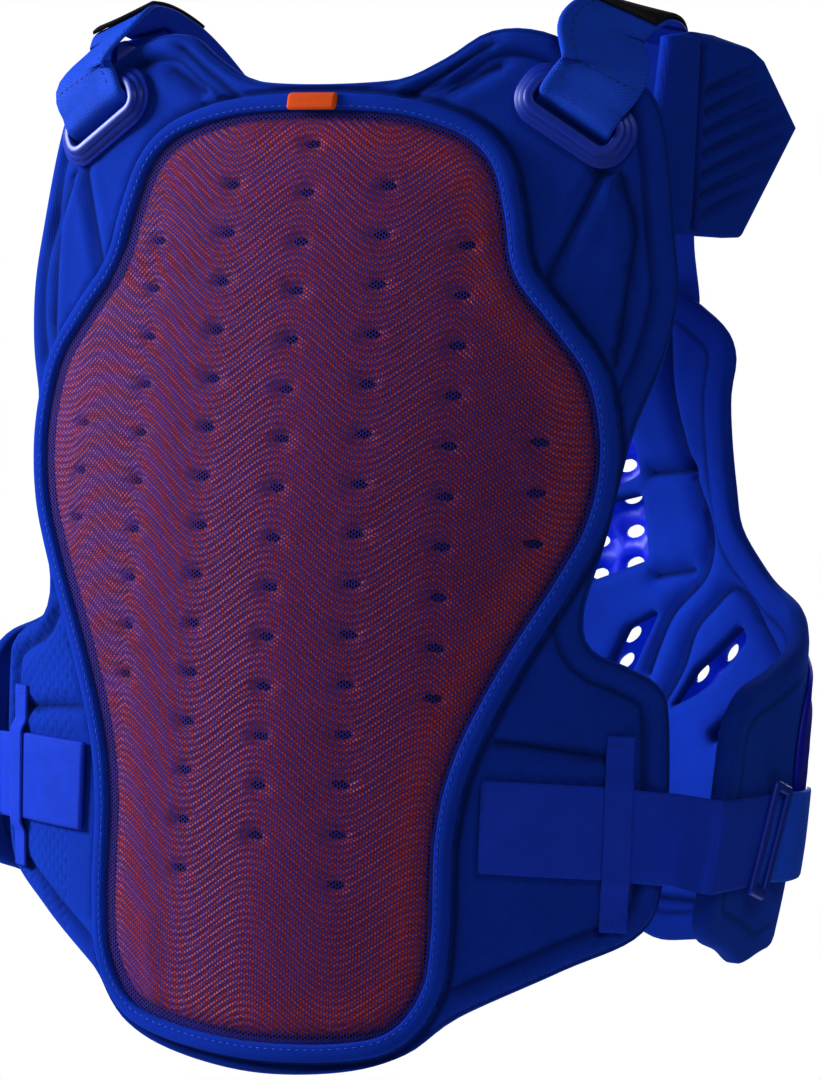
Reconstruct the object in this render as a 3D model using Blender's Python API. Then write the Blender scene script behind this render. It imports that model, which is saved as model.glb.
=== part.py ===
"""Motorcycle armour vest, modelled the way it is made: pieces cut flat, then laid round the torso.

The wearer faces +Y, their right hand is on +X and +Z is up. The origin is the seat over the
shoulders, midway between them. Flat pieces use (across, up, lift): across is the run round the
torso from the middle of the back or front, up is the height above the lowest hem, and lift is
the height off the torso, outwards.
"""
import math
from bisect import bisect_right

import bmesh
import bpy
from mathutils import Vector

# Torso that the vest goes round
BACK_LENGTH = 0.502
TORSO_HALF_WIDTH = 0.215
TORSO_DEPTH = 0.262
BACK_RADIUS = 0.370
FRONT_RADIUS = 0.330
SIDE_RADIUS = 0.075

# Cut sizes of the big pieces
PANEL_HALF_WIDTH = 0.205
POCKET_HALF_WIDTH = 0.172
FRONT_LENGTH = 0.412
FRONT_HALF_WIDTH = 0.343
PLATE_HALF_WIDTH = 0.258

# Thicknesses, and the gap kept between pieces that touch
LAYER_GAP = 0.0004
FRONT_GAP = 0.0008
PANEL_THICKNESS = 0.010
POCKET_FLOOR = 0.0030
MESH_THICKNESS = 0.0012
BINDING_HEIGHT = 0.0040
BINDING_WIDTH = 0.0090
POCKET_RIM = 0.0015
INSERT_MARGIN = 0.0015
FRONT_THICKNESS = 0.011
PLATE_THICKNESS = 0.0032
TAB_WIDTH = 0.028
TAB_HEIGHT = 0.009
TAB_THICKNESS = 0.0020

# Embossed lines
GROOVE_WIDTH = 0.0045
GROOVE_DEPTH = 0.0022

# Perforations of the insert
HOLE_COLUMN_PITCH = 0.0445
HOLE_TOP = BACK_LENGTH * 0.938
HOLE_ROW_PITCH = BACK_LENGTH * 0.05
HOLE_LENGTH = 0.0100
HOLE_HEIGHT = 0.0046
WAVE_RISE = 0.0040

# Shoulder rings and webbing
STRAP_WIDTH = 0.044
STRAP_THICKNESS = 0.0018
STRAP_PLAY = 0.0010
RING_BAR = 0.0105
RING_SLOT = 0.0125
RING_HEIGHT = 0.0066
RING_TILT = math.radians(32)
RING_ACROSS = 0.137
RING_DOWN = 0.015
RING_UP = BACK_LENGTH - RING_DOWN
SEAT_RISE = 0.062
SEAT_HEIGHT = RING_UP + SEAT_RISE
STRAP_FRONT_ACROSS = 0.097
STRAP_LAP = 0.014
HOOK_FORWARD = -0.070
HOOK_LENGTH = 0.046
HOOK_THICKNESS = 0.0020
HOOK_GAP = 0.0009

# Shoulder pads
PAD_LENGTH = 0.103
PAD_WIDTH = 0.103
PAD_THICKNESS = 0.0090
PAD_FLARE = math.radians(70)
PAD_FORWARD = -0.035
PAD_CLEAR = 0.0035
PAD_DROP = 0.0015
PAD_GROOVE_PITCH = 0.0105
PAD_GROOVES = 7
TONGUE_THICKNESS = 0.0020
TONGUE_RISE = 0.0160

# Waist belt, its keepers and slides
BELT_WIDTH = 0.0465
BELT_THICKNESS = 0.0020
BELT_UP = 0.1330
BELT_DROP = 0.0600
BELT_CLEAR = 0.0030
FLAP_CLEAR = 0.0080
BELT_RAMP = 0.0100
KEEPER_WIDTH = 0.0140
KEEPER_LENGTH = 0.098
KEEPER_THICKNESS = 0.0012
KEEPER_RAMP = 0.0070
KEEPER_ACROSS = 0.181
SLIDE_BAR = 0.0052
SLIDE_SLOT = 0.0130
SLIDE_THICKNESS = 0.0030
SLIDE_ACROSS = 0.288
SLIDE_TILT = math.radians(14)
FRONT_STRAP_LENGTH = 0.056

# Facets: broad ones over the middle, narrow ones round the sides
BROAD_PITCH = 0.0360
BROAD_LINES = 5
SIDE_PITCH = 0.0225
SIDE_LINES = 8
UP_PITCH = 0.0450
UP_LINES = [row * UP_PITCH for row in range(-1, 14)]
HALF_LINES = [line * BROAD_PITCH for line in range(1, BROAD_LINES + 1)]
HALF_LINES += [BROAD_LINES * BROAD_PITCH + line * SIDE_PITCH for line in range(1, SIDE_LINES + 1)]
ACROSS_LINES = [-line for line in reversed(HALF_LINES)] + [0] + HALF_LINES
OUTLINE_STEP = 0.0240
STRAP_STEP = 0.0135

# Torso sections: height, half width, back radius, back lean and front lean, as shares of
# BACK_LENGTH, TORSO_HALF_WIDTH, BACK_RADIUS and TORSO_DEPTH
TORSO_SECTIONS = (
    (-0.03, 0.880, 0.74, 0.020, 0.080),
    (0.12, 0.945, 0.79, 0.003, 0.040),
    (0.26, 0.990, 0.86, 0.000, 0.010),
    (0.54, 1.000, 1.00, 0.011, 0.000),
    (0.80, 0.977, 1.20, 0.053, 0.053),
    (1.00, 0.944, 1.42, 0.107, 0.160),
    (1.12, 0.920, 1.50, 0.138, 0.220),
)

# Right half of each outline, from its top middle to its bottom middle: across and up, as
# shares of the piece's half width and length
PANEL_EDGE = (
    (0.000, 1.000), (0.200, 1.006), (0.320, 1.028), (0.430, 1.056), (0.560, 1.056), (0.700, 1.030),
    (0.830, 1.000), (0.885, 0.950), (0.925, 0.860), (0.948, 0.797), (0.925, 0.730), (0.868, 0.655),
    (0.826, 0.560), (0.782, 0.480), (0.805, 0.445), (0.890, 0.430), (0.970, 0.412), (1.000, 0.375),
    (1.008, 0.230), (0.960, 0.165), (0.770, 0.124), (0.525, 0.072), (0.400, 0.032), (0.240, 0.008),
    (0.000, -0.003),
)
POCKET_EDGE = (
    (0.000, 0.990), (0.200, 0.988), (0.360, 0.980), (0.520, 0.960), (0.620, 0.925), (0.675, 0.870),
    (0.712, 0.820), (0.820, 0.775), (0.935, 0.725), (0.985, 0.675), (1.000, 0.620), (0.970, 0.560),
    (0.890, 0.500), (0.750, 0.412), (0.640, 0.325), (0.598, 0.250), (0.598, 0.160), (0.575, 0.095),
    (0.480, 0.045), (0.320, 0.022), (0.000, 0.012),
)
FRONT_EDGE = (
    (0.000, 0.905), (0.110, 0.920), (0.185, 0.965), (0.245, 1.000), (0.330, 1.000), (0.385, 0.978),
    (0.430, 0.950), (0.446, 0.915), (0.434, 0.868), (0.437, 0.811), (0.450, 0.745), (0.466, 0.695),
    (0.515, 0.652), (0.565, 0.622), (0.640, 0.597), (0.700, 0.570), (0.770, 0.543), (0.850, 0.520),
    (0.940, 0.500), (0.990, 0.460), (1.000, 0.390), (1.000, 0.270), (0.970, 0.205), (0.870, 0.178),
    (0.790, 0.156), (0.710, 0.165), (0.590, 0.158), (0.460, 0.150), (0.360, 0.139), (0.290, 0.150),
    (0.160, 0.160), (0.000, 0.162),
)
PLATE_EDGE = (
    (0.000, 0.850), (0.200, 0.870), (0.330, 0.912), (0.430, 0.908), (0.490, 0.870), (0.510, 0.790),
    (0.560, 0.690), (0.680, 0.595), (0.860, 0.535), (0.985, 0.475), (1.000, 0.370), (0.900, 0.270),
    (0.640, 0.205), (0.300, 0.186), (0.000, 0.182),
)
# Shoulder pad outline: forward of the seam and up from the lower edge, as shares of
# PAD_LENGTH and PAD_WIDTH; its tongue rises from the first side
PAD_EDGE = (
    (-0.030, 1.000), (0.155, 1.000), (0.370, 0.970), (0.466, 0.920), (0.738, 0.602), (0.370, 0.019),
    (0.282, 0.010), (0.000, 0.000), (-0.146, -0.010), (-0.255, 0.120), (-0.262, 0.560), (-0.225, 0.955),
)

# First and last row of holes in the insert's columns, from the middle column outwards
INSERT_ROWS = ((0, 14), (1, 15), (2, 11), (6, 8))
# Embossed ribs on the right half of the back: each a run of across and up shares
BACK_RIBS = (
    ((0.740, 0.915), (0.640, 0.812)),
    ((0.785, 0.915), (0.835, 0.860), (0.815, 0.725)),
    ((0.250, 0.990), (0.440, 1.042)),
    ((0.350, 0.995), (0.465, 1.020)),
    ((0.585, 0.350), (0.850, 0.340)),
)
# Channels on the inside of the front, right half: across and up, as shares of
# FRONT_HALF_WIDTH and FRONT_LENGTH
FRONT_CHANNELS = (
    ((0.309, 0.960), (0.315, 0.870), (0.355, 0.775), (0.405, 0.690), (0.398, 0.630), (0.325, 0.570),
     (0.283, 0.490)),
    ((0.309, 0.440), (0.355, 0.500), (0.379, 0.553), (0.417, 0.585), (0.469, 0.614), (0.519, 0.590),
     (0.560, 0.556), (0.624, 0.512)),
    ((0.275, 0.760), (0.360, 0.768)),
    ((0.290, 0.622), (0.370, 0.634)),
    ((0.310, 0.192), (0.450, 0.196)),
)
# Windows through the front pad, right half: corners in the same shares
FRONT_WINDOWS = (
    ((0.250, 0.950), (0.284, 0.950), (0.284, 0.930), (0.250, 0.930)),
    ((0.169, 0.825), (0.233, 0.813), (0.251, 0.757), (0.204, 0.740), (0.150, 0.738)),
    ((0.146, 0.706), (0.198, 0.719), (0.257, 0.731), (0.274, 0.643), (0.160, 0.609), (0.117, 0.640)),
    ((0.236, 0.549), (0.300, 0.575), (0.254, 0.495), (0.233, 0.456), (0.192, 0.476)),
    ((0.338, 0.447), (0.385, 0.498), (0.493, 0.566), (0.510, 0.549), (0.437, 0.490), (0.388, 0.466)),
    ((0.429, 0.420), (0.501, 0.464), (0.519, 0.447), (0.440, 0.405)),
    ((0.321, 0.235), (0.373, 0.240), (0.379, 0.221), (0.353, 0.209), (0.318, 0.211)),
)
# Oval vents through the plate, right half: across and up in the same shares, and their turn
# in degrees
PLATE_VENTS = (
    (0.204, 0.769, 10), (0.216, 0.726, 10), (0.222, 0.680, 10), (0.155, 0.663, 10), (0.224, 0.636, 15),
    (0.155, 0.617, 15), (0.227, 0.539, 35), (0.216, 0.502, 35), (0.440, 0.527, 40), (0.376, 0.495, 40),
    (0.461, 0.432, 40), (0.332, 0.221, 15),
)
VENT_LENGTH = 0.014
VENT_HEIGHT = 0.0075

# Arc of the right shoulder strap over the shoulder: share of the way forward from the ring to
# the front pad, share of the way inwards, drop as a share of the front pad's depth below the
# seat, and the tilt out of level and the turn forwards of the strap's outer side
STRAP_ARC = (
    (0.060, -0.18, 0.130, -0.46, 0.20),
    (0.160, -0.26, 0.040, -0.30, 0.14),
    (0.280, -0.22, 0.040, -0.18, 0.08),
    (0.390, -0.06, 0.120, -0.08, 0.02),
    (0.540, 0.220, 0.320, 0.000, -0.08),
    (0.710, 0.520, 0.570, 0.000, -0.14),
    (0.870, 0.800, 0.800, 0.000, -0.22),
)


def smooth_value(rows, key):
    """Columns of a table at a key, read off a smooth curve through its rows."""
    keys = [row[0] for row in rows]
    key = min(max(key, keys[0]), keys[-1])
    i = min(max(bisect_right(keys, key) - 1, 0), len(rows) - 2)
    before, start = rows[max(i - 1, 0)], rows[i]
    end, after = rows[i + 1], rows[min(i + 2, len(rows) - 1)]
    span = end[0] - start[0]
    t = (key - start[0]) / span
    values = []
    for column in range(1, len(start)):
        leave = (end[column] - before[column]) / (end[0] - before[0]) * span
        reach = (after[column] - start[column]) / (after[0] - start[0]) * span
        rise = end[column] - start[column]
        values.append(start[column] + leave * t + (3 * rise - 2 * leave - reach) * t ** 2
                      + (leave + reach - 2 * rise) * t ** 3)
    return values


def torso_section(up):
    """Half width, back radius, and the places of the back and front at a height."""
    width, radius, back_lean, front_lean = smooth_value(TORSO_SECTIONS, up / BACK_LENGTH)
    back = TORSO_DEPTH * (back_lean - 0.5)
    front = TORSO_DEPTH * (0.5 - front_lean)
    return width * TORSO_HALF_WIDTH, radius * BACK_RADIUS, back, front


def round_section(run, radius, half_width):
    """Across, depth and turn at a run along a broad arc that tightens into the side."""
    join_turn = math.asin((half_width - SIDE_RADIUS) / (radius - SIDE_RADIUS))
    join = radius * join_turn
    side_end = join + SIDE_RADIUS * (math.pi / 2 - join_turn)
    distance = abs(run)
    centre_across = (radius - SIDE_RADIUS) * math.sin(join_turn)
    centre_depth = radius - (radius - SIDE_RADIUS) * math.cos(join_turn)
    if distance < join:
        turn = distance / radius
        across = radius * math.sin(turn)
        depth = radius * (1 - math.cos(turn))
    else:
        turn = min(join_turn + (distance - join) / SIDE_RADIUS, math.pi / 2)
        across = centre_across + SIDE_RADIUS * math.sin(turn)
        depth = centre_depth - SIDE_RADIUS * math.cos(turn) + max(distance - side_end, 0)
    return math.copysign(across, run), depth, math.copysign(turn, run)


def between(lines, value):
    """The lines on either side of a value, and its share of the way between them."""
    i = min(max(bisect_right(lines, value), 1), len(lines) - 1)
    low, high = lines[i - 1], lines[i]
    return low, high, (value - low) / (high - low)


def faceted(curved, run, up, lift):
    """Place on the flat facets between the lines of a curved form."""
    left, right, across_share = between(ACROSS_LINES, run)
    below, above, up_share = between(UP_LINES, up)
    low, high = (
        curved(left, level, lift).lerp(curved(right, level, lift), across_share) for level in (below, above))
    return low.lerp(high, up_share)


def on_back(run, up, lift):
    """Place on the faceted back of the torso."""
    return faceted(curved_back, run, up, lift)


def on_front(run, up, lift):
    """Place on the faceted front of the torso."""
    return faceted(curved_front, run, up, lift)


def curved_back(run, up, lift):
    """Place on the back of the torso."""
    half_width, radius, back, _ = torso_section(up)
    across, depth, turn = round_section(run, radius, half_width)
    forward = back + depth - lift * math.cos(turn)
    return Vector((across + lift * math.sin(turn), forward, up - SEAT_HEIGHT))


def curved_front(run, up, lift):
    """Place on the front of the torso."""
    half_width, _, _, front = torso_section(up)
    across, depth, turn = round_section(run, FRONT_RADIUS, half_width)
    forward = front - depth + lift * math.cos(turn)
    return Vector((across + lift * math.sin(turn), forward, up - SEAT_HEIGHT))


def sized(rows, width, length):
    """A table of shares as lengths."""
    return [(across * width, up * length) for across, up in rows]


def both_halves(half):
    """A closed outline from its right half, which starts and ends on the middle line."""
    return half + [(-across, up) for across, up in reversed(half[1:-1])]


def catmull(values, t):
    """Smooth value between the middle two of four values."""
    a, b, c, d = values
    square, cube = 2 * a - 5 * b + 4 * c - d, 3 * b - a - 3 * c + d
    return (2 * b + (c - a) * t + square * t ** 2 + cube * t ** 3) / 2


def smooth_loop(points):
    """A smooth closed curve through the points."""
    count = len(points)
    loop = []
    for i in range(count):
        before, start, end, after = (points[(i + k) % count] for k in (-1, 0, 1, 2))
        parts = max(1, round(math.dist(start, end) / OUTLINE_STEP))
        for part in range(parts):
            loop.append(tuple(catmull(values, part / parts) for values in zip(before, start, end, after)))
    return loop


def inset(loop, distance):
    """A closed outline moved inwards."""
    count = len(loop)
    area = sum(loop[i - 1][0] * loop[i][1] - loop[i][0] * loop[i - 1][1] for i in range(count))
    way = math.copysign(distance, area)
    moved = []
    for i in range(count):
        (x0, y0), (x1, y1), (x2, y2) = loop[i - 1], loop[i], loop[(i + 1) % count]
        back = Vector((x1 - x0, y1 - y0)).normalized()
        ahead = Vector((x2 - x1, y2 - y1)).normalized()
        along = (back + ahead).normalized()
        stretch = 1 / max(along.dot(back), 0.5)
        moved.append((x1 - along.y * way * stretch, y1 + along.x * way * stretch))
    return moved


def rounded_box(length, height, radius, corner_parts=3):
    """A rounded rectangle about the middle."""
    loop = []
    corners = ((1, 1, 0), (-1, 1, 1), (-1, -1, 2), (1, -1, 3))
    for side_x, side_y, quarter in corners:
        for part in range(corner_parts + 1):
            turn = math.pi / 2 * (quarter + part / corner_parts)
            loop.append((side_x * (length / 2 - radius) + radius * math.cos(turn),
                         side_y * (height / 2 - radius) + radius * math.sin(turn)))
    return loop


def turned(loop, turn, across, up):
    """A loop turned about its middle and moved to its place."""
    c, s = math.cos(turn), math.sin(turn)
    return [(across + x * c - y * s, up + x * s + y * c) for x, y in loop]


def line_strip(points, width):
    """Outline of a line of even width."""
    left, right = [], []
    for i, (x, y) in enumerate(points):
        before = Vector(points[max(i - 1, 0)])
        after = Vector(points[min(i + 1, len(points) - 1)])
        along = (after - before).normalized()
        left.append((x - along.y * width / 2, y + along.x * width / 2))
        right.append((x + along.y * width / 2, y - along.x * width / 2))
    return left + right[::-1]


def flat_object(name, loops, low, high, collection):
    """A flat piece between two lifts: the first loop is its outline, the others are holes."""
    curve = bpy.data.curves.new(name, "CURVE")
    curve.dimensions = "2D"
    curve.fill_mode = "BOTH"
    curve.extrude = (high - low) / 2
    for loop in loops:
        spline = curve.splines.new("POLY")
        spline.points.add(len(loop) - 1)
        for point, (across, up) in zip(spline.points, loop):
            point.co = (across, up, 0, 1)
        spline.use_cyclic_u = True
    drawn = bpy.data.objects.new(name + "_outline", curve)
    collection.objects.link(drawn)
    mesh = bpy.data.meshes.new_from_object(drawn.evaluated_get(bpy.context.evaluated_depsgraph_get()))
    bpy.data.objects.remove(drawn)
    bpy.data.curves.remove(curve)
    edit = bmesh.new()
    edit.from_mesh(mesh)
    bmesh.ops.translate(edit, verts=edit.verts, vec=(0, 0, (low + high) / 2))
    bmesh.ops.remove_doubles(edit, verts=edit.verts, dist=0.00001)
    join_flat_faces(edit)
    edit.to_mesh(mesh)
    edit.free()
    piece = bpy.data.objects.new(name, mesh)
    collection.objects.link(piece)
    return piece


def join_flat_faces(edit):
    """Join the faces that lie in one plane."""
    bmesh.ops.dissolve_limit(edit, angle_limit=0.0005, verts=edit.verts, edges=edit.edges)
    bmesh.ops.recalc_face_normals(edit, faces=edit.faces)


def cut_away(piece, cutters):
    """Cut the cutters out of a flat piece, one after another."""
    for cutter in cutters:
        cutter.hide_render = True
        cutter.display_type = "WIRE"
        cut = piece.modifiers.new(cutter.name, "BOOLEAN")
        cut.operation = "DIFFERENCE"
        cut.object = cutter
    bpy.context.view_layer.update()
    mesh = bpy.data.meshes.new_from_object(piece.evaluated_get(bpy.context.evaluated_depsgraph_get()))
    piece.modifiers.clear()
    piece.data = mesh
    for cutter in cutters:
        bpy.data.objects.remove(cutter)


def lay(piece, place, across_lines=None, up_lines=None):
    """Facet a flat piece along lines, the torso's own unless told, and lay it in its place."""
    edit = bmesh.new()
    edit.from_mesh(piece.data)
    join_flat_faces(edit)
    across_lines = ACROSS_LINES if across_lines is None else across_lines
    up_lines = UP_LINES if up_lines is None else up_lines
    for axis, lines in ((0, across_lines), (1, up_lines)):
        for line in lines:
            point, normal = Vector(), Vector()
            point[axis] = line
            normal[axis] = 1
            geometry = edit.verts[:] + edit.edges[:] + edit.faces[:]
            bmesh.ops.bisect_plane(edit, geom=geometry, dist=0.0001, plane_co=point, plane_no=normal)
    bmesh.ops.triangulate(edit, faces=edit.faces)
    for vert in edit.verts:
        vert.co = place(*vert.co)
    if edit.calc_volume(signed=True) < 0:
        bmesh.ops.reverse_faces(edit, faces=edit.faces)
    edit.to_mesh(piece.data)
    edit.free()
    return piece


def to_side(side, place):
    """A place on the right side, or its mirror image on the left."""
    def mirrored_place(across, up, lift):
        point = place(across, up, lift)
        return Vector((side * point.x, point.y, point.z))

    return mirrored_place


def finish(name, colour, roughness):
    """A plain finish: colour and roughness."""
    material = bpy.data.materials.new(name)
    material.use_nodes = True
    shader = material.node_tree.nodes["Principled BSDF"]
    shader.inputs["Base Color"].default_value = (*colour, 1)
    shader.inputs["Roughness"].default_value = roughness
    shader.inputs["Metallic"].default_value = 0
    return material


def binding_outline():
    """Outer edge of the binding round the mesh."""
    return smooth_loop(both_halves(sized(POCKET_EDGE, POCKET_HALF_WIDTH, BACK_LENGTH)))


def groove_cutters(lines, low, high, cutters):
    """Cutters for grooves along lines."""
    return [
        flat_object("groove", [line_strip(line, GROOVE_WIDTH)], low, high, cutters) for line in lines
    ]


def back_panel(parts, cutters):
    """Foam back with its pocket, raised rim and embossed ribs."""
    outline = smooth_loop(both_halves(sized(PANEL_EDGE, PANEL_HALF_WIDTH, BACK_LENGTH)))
    panel = flat_object("back_panel", [outline], 0, PANEL_THICKNESS, parts)
    pocket = inset(binding_outline(), BINDING_WIDTH + POCKET_RIM)
    floor = PANEL_THICKNESS - GROOVE_DEPTH
    above = PANEL_THICKNESS + GROOVE_DEPTH
    tools = [flat_object("pocket", [pocket], POCKET_FLOOR, above, cutters)]
    for side in (1, -1):
        lines = [sized(rib, side * PANEL_HALF_WIDTH, BACK_LENGTH) for rib in BACK_RIBS]
        tools += groove_cutters(lines, floor, above, cutters)
    cut_away(panel, tools)
    return lay(panel, on_back)


def oval(length, height, corners=6):
    """Oval of a few corners about the middle."""
    turns = [2 * math.pi * corner / corners for corner in range(corners)]
    return [(math.cos(turn) * length / 2, math.sin(turn) * height / 2) for turn in turns]


def back_insert(parts):
    """Spine insert with seven columns of oval perforations that follow its waves."""
    loops = [inset(binding_outline(), BINDING_WIDTH + POCKET_RIM + INSERT_MARGIN)]
    for column in range(-3, 4):
        first, last = INSERT_ROWS[abs(column)]
        top = HOLE_TOP + (WAVE_RISE if column % 2 else 0)
        for row in range(first, last + 1):
            hole = oval(HOLE_LENGTH, HOLE_HEIGHT, 4)
            loops.append(turned(hole, 0, column * HOLE_COLUMN_PITCH, top - row * HOLE_ROW_PITCH))
    low = POCKET_FLOOR + LAYER_GAP
    high = PANEL_THICKNESS - LAYER_GAP
    return lay(flat_object("back_insert", loops, low, high, parts), on_back)


def back_mesh(parts):
    """Mesh sheet over the insert, inside the binding."""
    outline = inset(binding_outline(), BINDING_WIDTH + LAYER_GAP)
    low = PANEL_THICKNESS + LAYER_GAP
    return lay(flat_object("back_mesh", [outline], low, low + MESH_THICKNESS, parts), on_back)


def mesh_binding(parts):
    """Raised band round the mesh."""
    outline = binding_outline()
    low = PANEL_THICKNESS + LAYER_GAP
    loops = [outline, inset(outline, BINDING_WIDTH)]
    return lay(flat_object("mesh_binding", loops, low, low + BINDING_HEIGHT, parts), on_back)


def pull_tab(parts):
    """Small tab that lies on the binding at its top."""
    low = PANEL_THICKNESS + BINDING_HEIGHT + 2 * LAYER_GAP
    middle = POCKET_EDGE[0][1] * BACK_LENGTH - BINDING_WIDTH / 2
    outline = turned(rounded_box(TAB_WIDTH, TAB_HEIGHT, TAB_HEIGHT / 4), 0, 0, middle)
    return lay(flat_object("pull_tab", [outline], low, low + TAB_THICKNESS, parts), on_back)


def level_place(middle_across, middle_up, base_lift):
    """Place of a stiff flat piece that touches the back at its middle, with its own axes."""
    step = 0.001
    middle = on_back(middle_across, middle_up, base_lift)
    along = (on_back(middle_across + step, middle_up, base_lift) - middle).normalized()
    rise = on_back(middle_across, middle_up + step, base_lift) - middle
    rise = (rise - along * rise.dot(along)).normalized()
    out = along.cross(rise)
    return lambda across, up, lift: middle + along * across + rise * up + out * lift


def shoulder_ring(side_name, side, parts, cutters):
    """Moulded ring with stepped sides, lying on the shoulder lobe."""
    slot_length = STRAP_WIDTH + 2 * STRAP_PLAY
    length = slot_length + 2 * RING_BAR
    height = RING_SLOT + 2 * RING_BAR
    turn = -RING_TILT
    slot = turned(rounded_box(slot_length, RING_SLOT, RING_SLOT / 4, 2), turn, 0, 0)
    outside = turned(rounded_box(length, height, RING_BAR * 1.4, 4), turn, 0, 0)
    ring = flat_object("shoulder_ring_" + side_name, [outside, slot], 0, RING_HEIGHT, parts)
    tools = []
    for step in (1, 2):
        inner = inset(outside, RING_BAR * 0.28 * step)
        around = inset(outside, -RING_BAR)
        floor = RING_HEIGHT * (0.1 + 0.3 * step)
        tools.append(flat_object("step", [around, inner], floor, RING_HEIGHT + RING_BAR * step, cutters))
    cut_away(ring, tools)
    place = level_place(RING_ACROSS, RING_UP, PANEL_THICKNESS + LAYER_GAP)
    return lay(ring, to_side(side, place), (), ())


def way_frame(points, run):
    """Place, side and lift directions at a run along a way of (place, side) points."""
    for i in range(len(points) - 1):
        (start, side), (end, next_side) = points[i], points[i + 1]
        length = (end - start).length
        if run <= length or i == len(points) - 2:
            t = run / length
            break
        run -= length
    before = points[max(i - 1, 0)][0]
    after = points[min(i + 2, len(points) - 1)][0]
    along_start = ((start - before).normalized() + (end - start).normalized()).normalized()
    along_end = ((end - start).normalized() + (after - end).normalized()).normalized()
    along = along_start.lerp(along_end, min(max(t, 0), 1)).normalized()
    side = side.lerp(next_side, t)
    side = (side - along * side.dot(along)).normalized()
    return start.lerp(end, t), side, side.cross(along)


def smooth_way(rows, step):
    """Points of a smooth way through rows of a place and a side direction."""
    rows = [(*place, *side) for place, side in rows]
    first = tuple(2 * a - b for a, b in zip(rows[0], rows[1]))
    last = tuple(2 * a - b for a, b in zip(rows[-1], rows[-2]))
    rows = [first, *rows, last]
    way = []
    for i in range(1, len(rows) - 2):
        before, start, end, after = rows[i - 1:i + 3]
        parts = max(1, round(math.dist(start[:3], end[:3]) / step))
        for part in range(parts + (i == len(rows) - 3)):
            t = part / parts
            way.append([catmull(values, t) for values in zip(before, start, end, after)])
    return [(Vector(point[:3]), Vector(point[3:])) for point in way]


def strap_way():
    """Way of the right shoulder strap: out of the ring's slot, over its upper bar and the shoulder."""
    ring_place = level_place(RING_ACROSS, RING_UP, PANEL_THICKNESS + LAYER_GAP)
    over = RING_HEIGHT + LAYER_GAP + STRAP_THICKNESS / 2
    edge = RING_SLOT / 2
    tilt_side = ring_place(math.cos(RING_TILT), -math.sin(RING_TILT), 0) - ring_place(0, 0, 0)
    rows = []
    for distance, lift in (
            (-edge * 0.55, STRAP_THICKNESS), (-edge * 0.15, STRAP_THICKNESS * 1.8), (edge * 0.3, over),
            (edge + RING_BAR * 0.5, over + STRAP_THICKNESS / 2), (edge + RING_BAR * 2, over)):
        place = ring_place(math.sin(RING_TILT) * distance, math.cos(RING_TILT) * distance, lift)
        rows.append((place, tilt_side))
    back = rows[-1][0].y
    lap_lift = FRONT_THICKNESS + 2 * FRONT_GAP + STRAP_THICKNESS / 2
    front_top, front_end = (
        on_front(STRAP_FRONT_ACROSS, FRONT_LENGTH - lap, lap_lift) for lap in (0, STRAP_LAP))
    front_side = on_front(STRAP_FRONT_ACROSS + STRAP_WIDTH / 2, FRONT_LENGTH, lap_lift) - front_top
    for forward, inward, drop, tilt, turn in STRAP_ARC:
        across = RING_ACROSS + (STRAP_FRONT_ACROSS - RING_ACROSS) * inward
        place = Vector((across, back + (front_top.y - back) * forward, front_top.z * drop))
        rows.append((place, Vector((math.cos(turn), math.sin(turn), math.tan(tilt))).normalized()))
    rows.append((front_top, front_side.normalized()))
    rows.append((front_end, front_side.normalized()))
    return smooth_way(rows, STRAP_STEP)


def run_at(points, forward):
    """Run where a way first comes to a place forward."""
    runs = way_runs(points)
    for (start, _), (end, _), run in zip(points, points[1:], runs):
        if start.y <= forward <= end.y:
            return run + (end - start).length * (forward - start.y) / (end.y - start.y)
    return runs[-1]


def way_runs(points):
    """Run of each point along a way."""
    runs = [0]
    for (start, _), (end, _) in zip(points, points[1:]):
        runs.append(runs[-1] + (end - start).length)
    return runs


def ribbon(name, side, low, high, parts, start=0, end=None):
    """A band on the shoulder strap's way, between two lifts from it."""
    points = strap_way()
    runs = way_runs(points)
    end = end or runs[-1]
    half = STRAP_WIDTH / 2
    outline = [(-half, start), (half, start), (half, end), (-half, end)]
    band = flat_object(name, [outline], low, high, parts)
    lines = [run for run in runs if start < run < end]
    return lay(band, to_side(side, on_strap(points)), (), lines)


def on_strap(points):
    """Place on the shoulder strap: across it, the run along it, and the lift off its middle."""
    def place(across, run, lift):
        middle, side, out = way_frame(points, run)
        return middle + side * across + out * lift

    return place


def shoulder_strap(side_name, side, parts):
    """Webbing from the slot of the ring over the shoulder to the top of the front pad."""
    half = STRAP_THICKNESS / 2
    return ribbon("shoulder_strap_" + side_name, side, -half, half, parts)


def strap_hook(side_name, side, parts):
    """Folded end of the webbing with its hook patch, on top of the strap over the shoulder."""
    low = STRAP_THICKNESS / 2 + HOOK_GAP
    high = low + HOOK_THICKNESS
    start = run_at(strap_way(), HOOK_FORWARD)
    return ribbon("strap_hook_" + side_name, side, low, high, parts, start, start + HOOK_LENGTH)


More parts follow.
